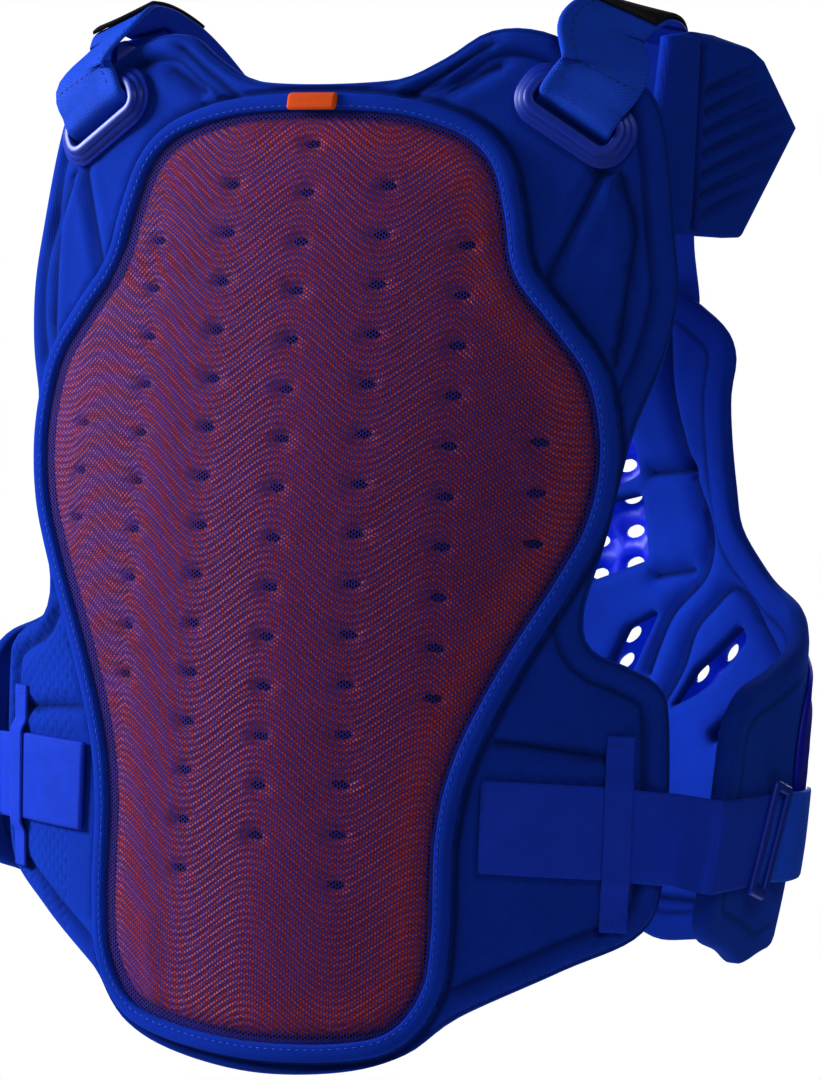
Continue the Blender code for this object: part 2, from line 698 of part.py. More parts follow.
def pad_place():
    """Place of the right shoulder pad: forward of its seam, up from its lower edge, lift outwards.

    Above its top edge the pad's tongue goes in under the strap.
    """
    forward = Vector((math.cos(PAD_FLARE), math.sin(PAD_FLARE), 0))
    out = Vector((math.sin(PAD_FLARE), -math.cos(PAD_FLARE), 0))
    points = strap_way()
    under_strap = on_strap(points)
    seam_run = run_at(points, PAD_FORWARD)
    outer = under_strap(STRAP_WIDTH / 2, seam_run, 0)
    seam = outer + Vector((PAD_CLEAR, 0, -PAD_DROP - PAD_WIDTH))

    def place(ahead, up, lift):
        flat = seam + forward * ahead + Vector((0, 0, min(up, PAD_WIDTH))) + out * lift
        if up <= PAD_WIDTH:
            return flat
        under = lift - STRAP_THICKNESS / 2 - LAYER_GAP - TONGUE_THICKNESS
        reach = up - PAD_WIDTH
        if reach < TONGUE_RISE:
            return flat.lerp(under_strap(STRAP_WIDTH / 2, seam_run + ahead, under), reach / TONGUE_RISE)
        return under_strap(STRAP_WIDTH / 2 + TONGUE_RISE - reach, seam_run + ahead, under)

    return place


def shoulder_pad(side_name, side, parts, cutters):
    """Grooved pad beside the shoulder, with a thin tongue that goes under the strap."""
    edge = sized(PAD_EDGE, PAD_LENGTH, PAD_WIDTH)
    tongue_end = PAD_WIDTH + TONGUE_RISE + STRAP_WIDTH * 0.6
    left, right = edge[0][0], edge[1][0]
    outline = edge[:1] + [(left, tongue_end), (right, tongue_end)] + edge[1:]
    pad = flat_object("shoulder_pad_" + side_name, [outline], 0, PAD_THICKNESS, parts)
    tools = []
    for i in range(PAD_GROOVES):
        rise = PAD_WIDTH * 0.10 + i * PAD_GROOVE_PITCH
        line = [(PAD_LENGTH * 0.04, rise), (PAD_LENGTH * 0.42, rise + PAD_LENGTH * 0.17)]
        tools += groove_cutters([line], PAD_THICKNESS - GROOVE_DEPTH, PAD_THICKNESS + GROOVE_DEPTH, cutters)
    beyond = tongue_end * 2
    above = [(left * 2, PAD_WIDTH), (right * 2, PAD_WIDTH), (right * 2, beyond), (left * 2, beyond)]
    tools.append(flat_object("thin", [above], TONGUE_THICKNESS, PAD_THICKNESS * 2, cutters))
    cut_away(pad, tools)
    lines = [PAD_WIDTH, PAD_WIDTH + TONGUE_RISE]
    return lay(pad, to_side(side, pad_place()), (), lines)


def front_pad(parts, cutters):
    """Foam front with inner channels, windows and side flaps."""
    outline = smooth_loop(both_halves(sized(FRONT_EDGE, FRONT_HALF_WIDTH, FRONT_LENGTH)))
    pad = flat_object("front_pad", [outline], 0, FRONT_THICKNESS, parts)
    tools = []
    for side in (1, -1):
        size = (side * FRONT_HALF_WIDTH, FRONT_LENGTH)
        lines = [sized(channel, *size) for channel in FRONT_CHANNELS]
        tools += groove_cutters(lines, -GROOVE_DEPTH, GROOVE_DEPTH, cutters)
        for window in FRONT_WINDOWS:
            opening = [sized(window, *size)]
            tools.append(flat_object("window", opening, -FRONT_THICKNESS, FRONT_THICKNESS * 2, cutters))
    cut_away(pad, tools)
    return lay(pad, on_front)


def front_plate(parts):
    """Hard plate over the front pad, with oval vents."""
    loops = [smooth_loop(both_halves(sized(PLATE_EDGE, PLATE_HALF_WIDTH, FRONT_LENGTH)))]
    for side in (1, -1):
        for across, up, turn in PLATE_VENTS:
            middle = (side * across * FRONT_HALF_WIDTH, up * FRONT_LENGTH)
            loops.append(turned(oval(VENT_LENGTH, VENT_HEIGHT), side * math.radians(turn), *middle))
    low = FRONT_THICKNESS + FRONT_GAP
    return lay(flat_object("front_plate", loops, low, low + PLATE_THICKNESS, parts), on_front)


def binding_reach(low, high):
    """Furthest run of the binding from the middle, between two heights."""
    loop = binding_outline()
    reach = 0
    for (across, up), (next_across, next_up) in zip(loop, loop[1:] + loop[:1]):
        for level in (low, high, up):
            share = (level - up) / (next_up - up) if next_up != up else 0
            if 0 <= share <= 1 and low <= level <= high:
                reach = max(reach, across + (next_across - across) * share)
    return reach


def belt_start():
    """Run where the belt comes out beside the binding."""
    return binding_reach(BELT_UP - BELT_WIDTH, BELT_UP + BELT_WIDTH) + LAYER_GAP


def belt_height(run):
    """Height of the middle of the belt: it drops a little towards the front."""
    return BELT_UP - BELT_DROP * (min(max(run, POCKET_HALF_WIDTH), belt_way()[1]) - POCKET_HALF_WIDTH)


def belt_way():
    """Runs along the right waist belt where the wing ends and the flap, slide and plate start."""
    wing_end = PANEL_HALF_WIDTH + BELT_CLEAR
    flap_edge = FRONT_HALF_WIDTH + FLAP_CLEAR
    wing = on_back(wing_end, BELT_UP, PANEL_THICKNESS)
    flap_start = wing_end + (on_front(flap_edge, BELT_UP, FRONT_THICKNESS) - wing).length
    middle_front = flap_start + flap_edge
    return wing_end, flap_start, middle_front - SLIDE_ACROSS, middle_front - PLATE_HALF_WIDTH


def on_belt(run, up, lift):
    """Place on the right waist belt: over the wing, straight to the flap, over it and over the plate."""
    wing_end, flap_start, _, plate_start = belt_way()
    flap_edge = FRONT_HALF_WIDTH + FLAP_CLEAR
    climb = min(max((run - plate_start) / BELT_RAMP + 1.2, 0), 1) * (PLATE_THICKNESS + FRONT_GAP)
    front_run = flap_edge - max(run - flap_start, 0)
    over_flap = on_front(front_run, up, lift + FRONT_THICKNESS + climb)
    if run >= flap_start:
        return over_flap
    over_wing = on_back(min(run, wing_end), up, lift + PANEL_THICKNESS)
    if run <= wing_end:
        return over_wing
    return over_wing.lerp(over_flap, (run - wing_end) / (flap_start - wing_end))


def belt_lines():
    """Lines that facet the belt as the back and front are."""
    wing_end, flap_start, _, plate_start = belt_way()
    flap_edge = FRONT_HALF_WIDTH + FLAP_CLEAR
    over_wing = [line for line in HALF_LINES if line < wing_end]
    over_flap = [flap_start + flap_edge - line for line in HALF_LINES if line < flap_edge]
    ramp = [plate_start - BELT_RAMP * 1.2, plate_start - BELT_RAMP * 0.2]
    return over_wing + [wing_end, flap_start] + over_flap + ramp


def belt_band(name, side, start, end, parts):
    """A length of the waist belt, cut along the slide where it meets it."""
    half = BELT_WIDTH / 2
    bends = [run for run in (POCKET_HALF_WIDTH, belt_way()[1]) if start < run < end]
    runs = [start, *bends, end]
    lean = [math.tan(SLIDE_TILT) * half if abs(run - belt_way()[2]) < SLIDE_SLOT else 0 for run in runs]
    lower = [(run - shift, belt_height(run) - half) for run, shift in zip(runs, lean)]
    upper = [(run + shift, belt_height(run) + half) for run, shift in zip(runs, lean)][::-1]
    band = flat_object(name, [lower + upper], FRONT_GAP, FRONT_GAP + BELT_THICKNESS, parts)
    return lay(band, to_side(side, on_belt), belt_lines())


def waist_belt(side_name, side, parts):
    """Elastic belt from beside the binding to the slot of its slide."""
    slide = belt_way()[2]
    return belt_band("waist_belt_" + side_name, side, belt_start(), slide - LAYER_GAP / 2, parts)


def front_strap(side_name, side, parts):
    """Strap from the slot of the slide forwards, over the edge of the plate."""
    start = belt_way()[2] + LAYER_GAP / 2
    return belt_band("front_strap_" + side_name, side, start, start + FRONT_STRAP_LENGTH, parts)


def belt_slide(side_name, side, parts):
    """Rectangular slide over the ends of the belt and the front strap."""
    middle = (belt_way()[2], belt_height(belt_way()[2]))
    low = BELT_THICKNESS + FRONT_GAP + LAYER_GAP
    length = SLIDE_SLOT + 2 * SLIDE_BAR
    height = BELT_WIDTH + 2 * STRAP_PLAY + 2 * SLIDE_BAR
    outside = turned(rounded_box(length, height, SLIDE_BAR / 2, 2), -SLIDE_TILT, *middle)
    slot = rounded_box(SLIDE_SLOT, height - 2 * SLIDE_BAR, SLIDE_BAR / 4, 1)
    slot = turned(slot, -SLIDE_TILT, *middle)
    ring = flat_object("belt_slide_" + side_name, [outside, slot], low, low + SLIDE_THICKNESS, parts)
    return lay(ring, to_side(side, on_belt), belt_lines())


def belt_keeper(side_name, side, parts):
    """Narrow loop down the wing, over the belt."""
    level = belt_height(KEEPER_ACROSS)
    over_belt = BELT_WIDTH / 2 + STRAP_PLAY
    half_width, half_length = KEEPER_WIDTH / 2, KEEPER_LENGTH / 2
    outline = turned([(-half_width, -half_length), (half_width, -half_length), (half_width, half_length),
                      (-half_width, half_length)], 0, KEEPER_ACROSS, level)
    low = PANEL_THICKNESS + LAYER_GAP
    keeper = flat_object("belt_keeper_" + side_name, [outline], low, low + KEEPER_THICKNESS, parts)

    def place(across, up, lift):
        climb = min(max((over_belt + KEEPER_RAMP - abs(up - level)) / KEEPER_RAMP, 0), 1)
        return on_back(across, up, lift + climb * (BELT_THICKNESS + FRONT_GAP))

    lines = [level + way * reach for way in (1, -1) for reach in (over_belt, over_belt + KEEPER_RAMP)]
    return lay(keeper, to_side(side, place), up_lines=lines + UP_LINES)


def main():
    for old in list(bpy.data.objects):
        bpy.data.objects.remove(old)
    parts = bpy.data.collections.new("motorcycle_armour_vest")
    cutters = bpy.data.collections.new("cutters")
    for collection in (parts, cutters):
        bpy.context.scene.collection.children.link(collection)
    foam = finish("blue_foam_fabric", (0.02, 0.09, 0.55), 0.85)
    webbing = finish("blue_webbing", (0.02, 0.06, 0.50), 0.75)
    moulded = finish("blue_plastic", (0.03, 0.08, 0.52), 0.35)
    plate = finish("plate_plastic", (0.01, 0.02, 0.70), 0.25)
    insert = finish("orange_foam", (0.55, 0.07, 0.04), 0.7)
    tab = finish("orange_tab", (1.0, 0.16, 0.02), 0.6)
    hook = finish("black_hook", (0.02, 0.02, 0.02), 0.9)
    built = [
        (back_panel(parts, cutters), foam), (back_insert(parts), insert), (back_mesh(parts), webbing),
        (mesh_binding(parts), foam), (pull_tab(parts), tab), (front_pad(parts, cutters), foam),
        (front_plate(parts), plate),
    ]
    for name, side in (("right", 1), ("left", -1)):
        built += [
            (shoulder_ring(name, side, parts, cutters), moulded),
            (shoulder_strap(name, side, parts), webbing), (strap_hook(name, side, parts), hook),
            (shoulder_pad(name, side, parts, cutters), foam),
            (waist_belt(name, side, parts), webbing), (front_strap(name, side, parts), webbing),
            (belt_slide(name, side, parts), moulded), (belt_keeper(name, side, parts), webbing),
        ]
    for piece, material in built:
        piece.data.materials.append(material)


main()
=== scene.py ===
"""Looks of a motorcycle armour vest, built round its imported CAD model.

Flat pieces are cut as the maker cuts them and laid round the torso. They use (across, up, lift):
across is the run round the torso from the middle of the back or front, up is the height above
the lowest hem, and lift is the height off the torso, outwards. Lengths are metres.
"""
import math

import bmesh
import bpy
import numpy as np
from bpy.props import FloatProperty, FloatVectorProperty, PointerProperty
from bpy.types import Operator, Panel, PropertyGroup
from mathutils import Matrix, Vector
from mathutils.geometry import delaunay_2d_cdt


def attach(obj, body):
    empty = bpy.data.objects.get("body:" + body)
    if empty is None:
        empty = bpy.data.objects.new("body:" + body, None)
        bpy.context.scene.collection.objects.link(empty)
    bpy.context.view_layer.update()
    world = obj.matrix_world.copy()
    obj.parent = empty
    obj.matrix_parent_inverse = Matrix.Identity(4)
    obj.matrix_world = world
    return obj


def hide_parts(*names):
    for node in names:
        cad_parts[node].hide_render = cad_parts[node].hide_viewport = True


bl_info = {
    "name": "Armour vest look",
    "version": (1, 0, 0),
    "blender": (4, 5, 0),
    "location": "3D View > Sidebar > Vest",
    "description": "Builds the visible pieces of a motorcycle armour vest",
    "category": "Object",
}

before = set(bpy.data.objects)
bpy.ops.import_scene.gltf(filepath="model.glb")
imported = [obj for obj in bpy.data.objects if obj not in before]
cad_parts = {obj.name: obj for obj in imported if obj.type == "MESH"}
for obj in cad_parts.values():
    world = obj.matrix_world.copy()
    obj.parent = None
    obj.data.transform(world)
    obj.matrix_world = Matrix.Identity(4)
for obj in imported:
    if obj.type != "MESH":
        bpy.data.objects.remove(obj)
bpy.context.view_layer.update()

# Torso that the vest goes round, the same as the CAD model's
BACK_LENGTH = 0.502
TORSO_HALF_WIDTH = 0.215
TORSO_DEPTH = 0.262
BACK_RADIUS = 0.370
FRONT_RADIUS = 0.330
SIDE_RADIUS = 0.075

# Cut sizes, thicknesses and gaps, the same as the CAD model's
PANEL_HALF_WIDTH = 0.205
POCKET_HALF_WIDTH = 0.172
FRONT_LENGTH = 0.412
FRONT_HALF_WIDTH = 0.343
PLATE_HALF_WIDTH = 0.258
LAYER_GAP = 0.0004
FRONT_GAP = 0.0008
PANEL_THICKNESS = 0.010
POCKET_FLOOR = 0.0030
BINDING_HEIGHT = 0.0040
BINDING_WIDTH = 0.0090
POCKET_RIM = 0.0015
INSERT_MARGIN = 0.0015
FRONT_THICKNESS = 0.011
PLATE_THICKNESS = 0.0032
TAB_WIDTH = 0.028
TAB_HEIGHT = 0.009
TAB_THICKNESS = 0.0020
STRAP_WIDTH = 0.044
STRAP_THICKNESS = 0.0018
STRAP_PLAY = 0.0010
RING_BAR = 0.0105
RING_SLOT = 0.0125
RING_HEIGHT = 0.0066
RING_TILT = math.radians(32)
RING_ACROSS = 0.137
RING_DOWN = 0.015
RING_UP = BACK_LENGTH - RING_DOWN
SEAT_RISE = 0.062
SEAT_HEIGHT = RING_UP + SEAT_RISE
STRAP_FRONT_ACROSS = 0.097
STRAP_LAP = 0.014
HOOK_FORWARD = -0.070
HOOK_LENGTH = 0.046
HOOK_THICKNESS = 0.0020
HOOK_GAP = 0.0009
PAD_LENGTH = 0.103
PAD_WIDTH = 0.103
PAD_THICKNESS = 0.0090
PAD_FLARE = math.radians(70)
PAD_FORWARD = -0.035
PAD_CLEAR = 0.0035
PAD_DROP = 0.0015
PAD_GROOVE_PITCH = 0.0105
PAD_GROOVES = 7
TONGUE_THICKNESS = 0.0020
TONGUE_RISE = 0.0160
BELT_WIDTH = 0.0465
BELT_THICKNESS = 0.0020
BELT_UP = 0.1330
BELT_DROP = 0.0600
BELT_CLEAR = 0.0030
FLAP_CLEAR = 0.0080
BELT_RAMP = 0.0100
KEEPER_WIDTH = 0.0140
KEEPER_LENGTH = 0.098
KEEPER_THICKNESS = 0.0012
KEEPER_RAMP = 0.0070
KEEPER_ACROSS = 0.181
SLIDE_BAR = 0.0052
SLIDE_SLOT = 0.0130
SLIDE_THICKNESS = 0.0030
SLIDE_ACROSS = 0.288
SLIDE_TILT = math.radians(14)
FRONT_STRAP_LENGTH = 0.056
GROOVE_DEPTH = 0.0030

# Fine detail that only the look has. Embossed ribs: each is a groove between two soft shoulders
RIB_WIDTH = 0.0120
RIB_SHOULDER_OUT = 0.0085
RIB_SHOULDER_WIDTH = 0.0080
RIB_SHOULDER_RISE = 0.0007
# Pressed lines, each darkened with painted shade: one round the binding, one inside the rim and one at the
# edge seam
MOAT_OUT = 0.0022
MOAT_WIDTH = 0.0048
MOAT_DEPTH = 0.0016
RIM_LINE_IN = 0.0138
SEAM_LINE_IN = 0.0018
POCKET_WALL = 0.0016
SWELL_RISE = 0.0004
# Net: how far it goes in under the binding, its lift off the insert, and its folds, each with
# its two ends and its width
NET_LAP = 0.003
NET_GAP = 0.0004
NET_RISE = 0.0006
FOLD_RISE = 0.0012
NET_FOLDS = (
    ((-0.062, 0.070), (-0.055, 0.030), 0.006),
    ((-0.115, 0.405), (-0.085, 0.420), 0.008),
)
# Straps: seam in from the inner edge, and the runs where the seam and the hem start
STRAP_SEAM_IN = 0.0072
STRAP_SEAM_RUN = 0.016
STRAP_HEM_RUN = 0.030
BAND_RINGS = 60
HOOK_RINGS = 24
# Dimples on the wings: their spacing, how far out they start and how high they reach
DIMPLE_PITCH = 0.0085
DIMPLE_ACROSS = 0.128
DIMPLE_TOP = 0.225
# Ribs of the spine insert: their spacing, and how far they wave and drop at the sides
INSERT_RIB_PITCH = 0.0036
INSERT_WAVE = 0.0115
INSERT_DROP = 0.75

# Spacing of points over the pieces whose mesh the user doesn't set
INSERT_MESH = 0.006
NET_MESH = 0.005
TAB_MESH = 0.0016
PAD_MESH = 0.0030
PLATE_MESH = 0.007
# Shoulder pads: where the slanted grooves start and end, as shares of the pad's length, their
# rise, the height of the lowest, and their width
PAD_GROOVE_START = 0.05
PAD_GROOVE_END = 0.60
PAD_GROOVE_RISE = 0.24
PAD_GROOVE_BASE = 0.10
PAD_GROOVE_WIDTH = 0.0095
PAD_SEAM_WIDTH = 0.006
PAD_LEAST = 0.0008
# Front: channels and the line pressed along each, the windows' corners, and the collar's line; the
# channels, the windows' edges and the collar's line are darkened with painted shade
CHANNEL_WIDTH = 0.018
CHANNEL_LINE_WIDTH = 0.0055
CHANNEL_GUIDES = (-0.0035, 0.0, 0.0035)
WINDOW_CORNER = 0.0035
WINDOW_GUIDES = (-0.0012, -0.003)
COLLAR_LINE_IN = 0.0150
# Plate: its rim is thinner, and steps up between these distances in from the edge
PLATE_RIM_SHARE = 0.72
PLATE_STEP = (0.014, 0.017)
# Belts: the stretch beside the slide over which a belt leans with it, and the slide's corners
LEAN_STRETCH = (0.002, 0.035)
SLIDE_CORNER = 0.0032
SLIDE_LEAST_CORNER = 0.001
KEEPER_SEAM_SIDE = 0.0015
KEEPER_SEAM_END = 0.004

# Torso sections: height, half width, back radius, back lean and front lean, as shares of
# BACK_LENGTH, TORSO_HALF_WIDTH, BACK_RADIUS and TORSO_DEPTH
TORSO_SECTIONS = (
    (-0.03, 0.880, 0.74, 0.020, 0.080),
    (0.12, 0.945, 0.79, 0.003, 0.040),
    (0.26, 0.990, 0.86, 0.000, 0.010),
    (0.54, 1.000, 1.00, 0.011, 0.000),
    (0.80, 0.977, 1.20, 0.053, 0.053),
    (1.00, 0.944, 1.42, 0.107, 0.160),
    (1.12, 0.920, 1.50, 0.138, 0.220),
)

# Right half of each outline, from its top middle to its bottom middle: across and up, as
# shares of the piece's half width and length
PANEL_EDGE = (
    (0.000, 1.000), (0.200, 1.006), (0.320, 1.028), (0.430, 1.056), (0.560, 1.056), (0.700, 1.030),
    (0.830, 1.000), (0.885, 0.950), (0.925, 0.860), (0.948, 0.797), (0.925, 0.730), (0.868, 0.655),
    (0.826, 0.560), (0.782, 0.480), (0.805, 0.445), (0.890, 0.430), (0.970, 0.412), (1.000, 0.375),
    (1.008, 0.230), (0.960, 0.165), (0.770, 0.124), (0.525, 0.072), (0.400, 0.032), (0.240, 0.008),
    (0.000, -0.003),
)
POCKET_EDGE = (
    (0.000, 0.990), (0.200, 0.988), (0.360, 0.980), (0.520, 0.960), (0.620, 0.925), (0.675, 0.870),
    (0.712, 0.820), (0.820, 0.775), (0.935, 0.725), (0.985, 0.675), (1.000, 0.620), (0.970, 0.560),
    (0.890, 0.500), (0.750, 0.412), (0.640, 0.325), (0.598, 0.250), (0.598, 0.160), (0.575, 0.095),
    (0.480, 0.045), (0.320, 0.022), (0.000, 0.012),
)
FRONT_EDGE = (
    (0.000, 0.905), (0.110, 0.920), (0.185, 0.965), (0.245, 1.000), (0.330, 1.000), (0.385, 0.978),
    (0.430, 0.950), (0.446, 0.915), (0.434, 0.868), (0.437, 0.811), (0.450, 0.745), (0.466, 0.695),
    (0.515, 0.652), (0.565, 0.622), (0.640, 0.597), (0.700, 0.570), (0.770, 0.543), (0.850, 0.520),
    (0.940, 0.500), (0.990, 0.460), (1.000, 0.390), (1.000, 0.270), (0.970, 0.205), (0.870, 0.178),
    (0.790, 0.156), (0.710, 0.165), (0.590, 0.158), (0.460, 0.150), (0.360, 0.139), (0.290, 0.150),
    (0.160, 0.160), (0.000, 0.162),
)
PLATE_EDGE = (
    (0.000, 0.850), (0.200, 0.870), (0.330, 0.912), (0.430, 0.908), (0.490, 0.870), (0.510, 0.790),
    (0.560, 0.690), (0.680, 0.595), (0.860, 0.535), (0.985, 0.475), (1.000, 0.370), (0.900, 0.270),
    (0.640, 0.205), (0.300, 0.186), (0.000, 0.182),
)
# Shoulder pad outline: forward of the seam and up from the lower edge, as shares of
# PAD_LENGTH and PAD_WIDTH; its tongue rises from the first side
PAD_EDGE = (
    (-0.030, 1.000), (0.155, 1.000), (0.370, 0.970), (0.466, 0.920), (0.738, 0.602), (0.370, 0.019),
    (0.282, 0.010), (0.000, 0.000), (-0.146, -0.010), (-0.255, 0.120), (-0.262, 0.560), (-0.225, 0.955),
)
# First and last row of holes in the insert's columns, from the middle column outwards
INSERT_ROWS = ((0, 14), (1, 15), (2, 11), (6, 8))
HOLE_COLUMN_PITCH = 0.0445
HOLE_TOP = BACK_LENGTH * 0.938
HOLE_ROW_PITCH = BACK_LENGTH * 0.05
HOLE_LENGTH = 0.0100
HOLE_HEIGHT = 0.0046
WAVE_RISE = 0.0040
# Embossed ribs on the right half of the back: each a run of across and up shares
BACK_RIBS = (
    ((0.740, 0.915), (0.640, 0.812)),
    ((0.785, 0.915), (0.835, 0.860), (0.815, 0.725)),
    ((0.250, 0.990), (0.440, 1.042)),
    ((0.350, 0.995), (0.465, 1.020)),
    ((0.585, 0.350), (0.850, 0.340)),
)
# Channels on the inside of the front, right half: across and up, as shares of
# FRONT_HALF_WIDTH and FRONT_LENGTH
FRONT_CHANNELS = (
    ((0.309, 0.960), (0.315, 0.870), (0.355, 0.775), (0.405, 0.690), (0.398, 0.630), (0.325, 0.570),
     (0.283, 0.490)),
    ((0.309, 0.440), (0.355, 0.500), (0.379, 0.553), (0.417, 0.585), (0.469, 0.614), (0.519, 0.590),
     (0.560, 0.556), (0.624, 0.512)),
    ((0.275, 0.760), (0.360, 0.768)),
    ((0.290, 0.622), (0.370, 0.634)),
    ((0.310, 0.192), (0.450, 0.196)),
)
# Windows through the front pad, right half: corners in the same shares
FRONT_WINDOWS = (
    ((0.250, 0.950), (0.284, 0.950), (0.284, 0.930), (0.250, 0.930)),
    ((0.169, 0.825), (0.233, 0.813), (0.251, 0.757), (0.204, 0.740), (0.150, 0.738)),
    ((0.146, 0.706), (0.198, 0.719), (0.257, 0.731), (0.274, 0.643), (0.160, 0.609), (0.117, 0.640)),
    ((0.236, 0.549), (0.300, 0.575), (0.254, 0.495), (0.233, 0.456), (0.192, 0.476)),
    ((0.338, 0.447), (0.385, 0.498), (0.493, 0.566), (0.510, 0.549), (0.437, 0.490), (0.388, 0.466)),
    ((0.429, 0.420), (0.501, 0.464), (0.519, 0.447), (0.440, 0.405)),
    ((0.321, 0.235), (0.373, 0.240), (0.379, 0.221), (0.353, 0.209), (0.318, 0.211)),
)
# Oval vents through the plate, right half: across and up in the same shares, and their turn
# in degrees
PLATE_VENTS = (
    (0.204, 0.769, 10), (0.216, 0.726, 10), (0.222, 0.680, 10), (0.155, 0.663, 10), (0.224, 0.636, 15),
    (0.155, 0.617, 15), (0.227, 0.539, 35), (0.216, 0.502, 35), (0.440, 0.527, 40), (0.376, 0.495, 40),
    (0.461, 0.432, 40), (0.332, 0.221, 15),
)
VENT_LENGTH = 0.014
VENT_HEIGHT = 0.0075
# Arc of the right shoulder strap over the shoulder: share of the way forward from the ring to
# the front pad, share of the way inwards, drop as a share of the front pad's depth below the
# seat, and the tilt out of level and the turn forwards of the strap's outer side
STRAP_ARC = (
    (0.060, -0.18, 0.130, -0.46, 0.20),
    (0.160, -0.26, 0.040, -0.30, 0.14),
    (0.280, -0.22, 0.040, -0.18, 0.08),
    (0.390, -0.06, 0.120, -0.08, 0.02),
    (0.540, 0.220, 0.320, 0.000, -0.08),
    (0.710, 0.520, 0.570, 0.000, -0.14),
    (0.870, 0.800, 0.800, 0.000, -0.22),
)

# Edge profiles: distance in from the edge, and height as a share of the thickness
PANEL_PROFILE = (
    (0.0000, 0.30), (0.0006, 0.52), (0.0014, 0.62), (0.0022, 0.63), (0.0032, 0.82), (0.0050, 0.95),
    (0.0075, 1.00), (0.0100, 0.94), (0.0122, 0.76), (0.0140, 0.62), (0.0160, 0.70), (0.0190, 0.88),
    (0.0230, 0.95),
)
PAD_PROFILE = (
    (0.0000, 0.38), (0.0008, 0.62), (0.0020, 0.82), (0.0040, 0.95), (0.0065, 1.00),
)
COLLAR_PROFILE = (
    (0.0000, 0.45), (0.0010, 0.68), (0.0030, 0.88), (0.0070, 1.00), (0.0120, 0.94), (0.0150, 0.76),
    (0.0180, 0.84), (0.0220, 0.94),
)
PLATE_PROFILE = (
    (0.0000, 0.30), (0.0005, 0.75), (0.0014, 1.00),
)
BINDING_PROFILE = (
    (0.0000, 0.02), (0.0002, 0.55), (0.0010, 0.90), (0.0022, 1.00), (0.0058, 1.00), (0.0066, 0.86),
    (0.0074, 0.90), (0.0084, 0.66), (0.0090, 0.02),
)
RING_PROFILE = (
    (0.0000, 0.00), (0.0000, 0.22), (0.0004, 0.30), (0.0023, 0.34), (0.0027, 0.40), (0.0029, 0.56),
    (0.0033, 0.62), (0.0051, 0.66), (0.0055, 0.70), (0.0058, 0.90), (0.0063, 0.97), (0.0096, 1.00),
    (0.0103, 0.94), (0.0105, 0.84), (0.0105, 0.00),
)
SLIDE_PROFILE = (
    (0.0000, 0.00), (0.0000, 0.55), (0.0004, 0.80), (0.0012, 1.00), (0.0040, 1.00), (0.0048, 0.80),
    (0.0052, 0.55), (0.0052, 0.00),
)

SIDES = (("right", 1), ("left", -1))

# Tints of the soft fuzz on cloth and on the net
BLUE_BLOOM = (0.05, 0.22, 1.0)
LILAC_BLOOM = (0.45, 0.42, 1.0)

# Camera, fitted to the photograph's frame of 821 by 1080 pixels
CAMERA_AZIMUTH = 27.8
CAMERA_ELEVATION = 1.0
CAMERA_ROLL = 2.9
CAMERA_DISTANCE = 1.9
CAMERA_FOCAL = 3500
CAMERA_TARGET = (0.0, 0.012, -0.279)
PHOTO_HEIGHT = 1080
SENSOR = 36.0

# Floor and soft light: each light's place, power in watts and size
FLOOR_LEVEL = -1.3
FLOOR_RADIUS = 1.6
AMBIENT = 0.06
CONTRAST = 0.75
LIGHT_AIM = (0.0, 0.0, -0.28)
LIGHTS = (
    ("key_left", (-2.22, -0.84, 0.50), 92, 0.9),
    ("top_right", (1.5, -1.3, 1.5), 15, 0.8),
    ("fill_right", (1.2, -2.3, 0.1), 8, 1.2),
    ("front_soft", (-0.5, 2.3, 0.5), 50, 1.4),
)


# Sizes and colours

class VestSizes(PropertyGroup):
    """Sizes of the visible detail."""
    cloth_pitch: FloatProperty(
        name="Cloth mesh", description="Spacing of points over the padded cloth",
        default=0.0042, min=0.002, unit="LENGTH")
    groove_depth: FloatProperty(
        name="Groove depth", description="Depth of the embossed lines",
        default=GROOVE_DEPTH, min=0.0, unit="LENGTH")
    stitch_length: FloatProperty(
        name="Stitch length", description="Length of one stitch", default=0.0028, unit="LENGTH")
    stitch_gap: FloatProperty(
        name="Stitch gap", description="Gap between stitches", default=0.0014, unit="LENGTH")
    thread: FloatProperty(
        name="Thread", description="Thickness of the sewing thread", default=0.0006, unit="LENGTH")
    net_pitch: FloatProperty(
        name="Net pitch", description="Spacing of the holes in the net", default=0.00215, unit="LENGTH")


class VestColours(PropertyGroup):
    """Colours of the finishes, linear."""
    cloth: FloatVectorProperty(
        name="Cloth", description="Blue cloth over the foam", subtype="COLOR", default=(0.011, 0.062, 0.46))
    binding: FloatVectorProperty(
        name="Binding", description="Bound edges", subtype="COLOR", default=(0.011, 0.064, 0.50))
    webbing: FloatVectorProperty(
        name="Webbing", description="Shoulder straps", subtype="COLOR", default=(0.020, 0.125, 0.80))
    elastic: FloatVectorProperty(
        name="Elastic", description="Waist belt and its keepers", subtype="COLOR",
        default=(0.018, 0.082, 0.68))
    moulded: FloatVectorProperty(
        name="Moulded plastic", description="Rings and slides", subtype="COLOR",
        default=(0.010, 0.048, 0.42))
    plate: FloatVectorProperty(
        name="Plate", description="Hard front plate", subtype="COLOR", default=(0.0006, 0.008, 0.62))
    net: FloatVectorProperty(
        name="Net", description="Threads of the net", subtype="COLOR", default=(0.060, 0.030, 0.230))
    insert: FloatVectorProperty(
        name="Insert", description="Spine insert", subtype="COLOR", default=(1.0, 0.120, 0.028))
    tab: FloatVectorProperty(
        name="Tab", description="Small pull tab", subtype="COLOR", default=(1.0, 0.16, 0.010))
    hook: FloatVectorProperty(
        name="Hook patch", description="Hook patches", subtype="COLOR", default=(0.012, 0.012, 0.016))
    thread: FloatVectorProperty(
        name="Thread", description="Sewing thread", subtype="COLOR", default=(0.03, 0.12, 0.62))


# Torso

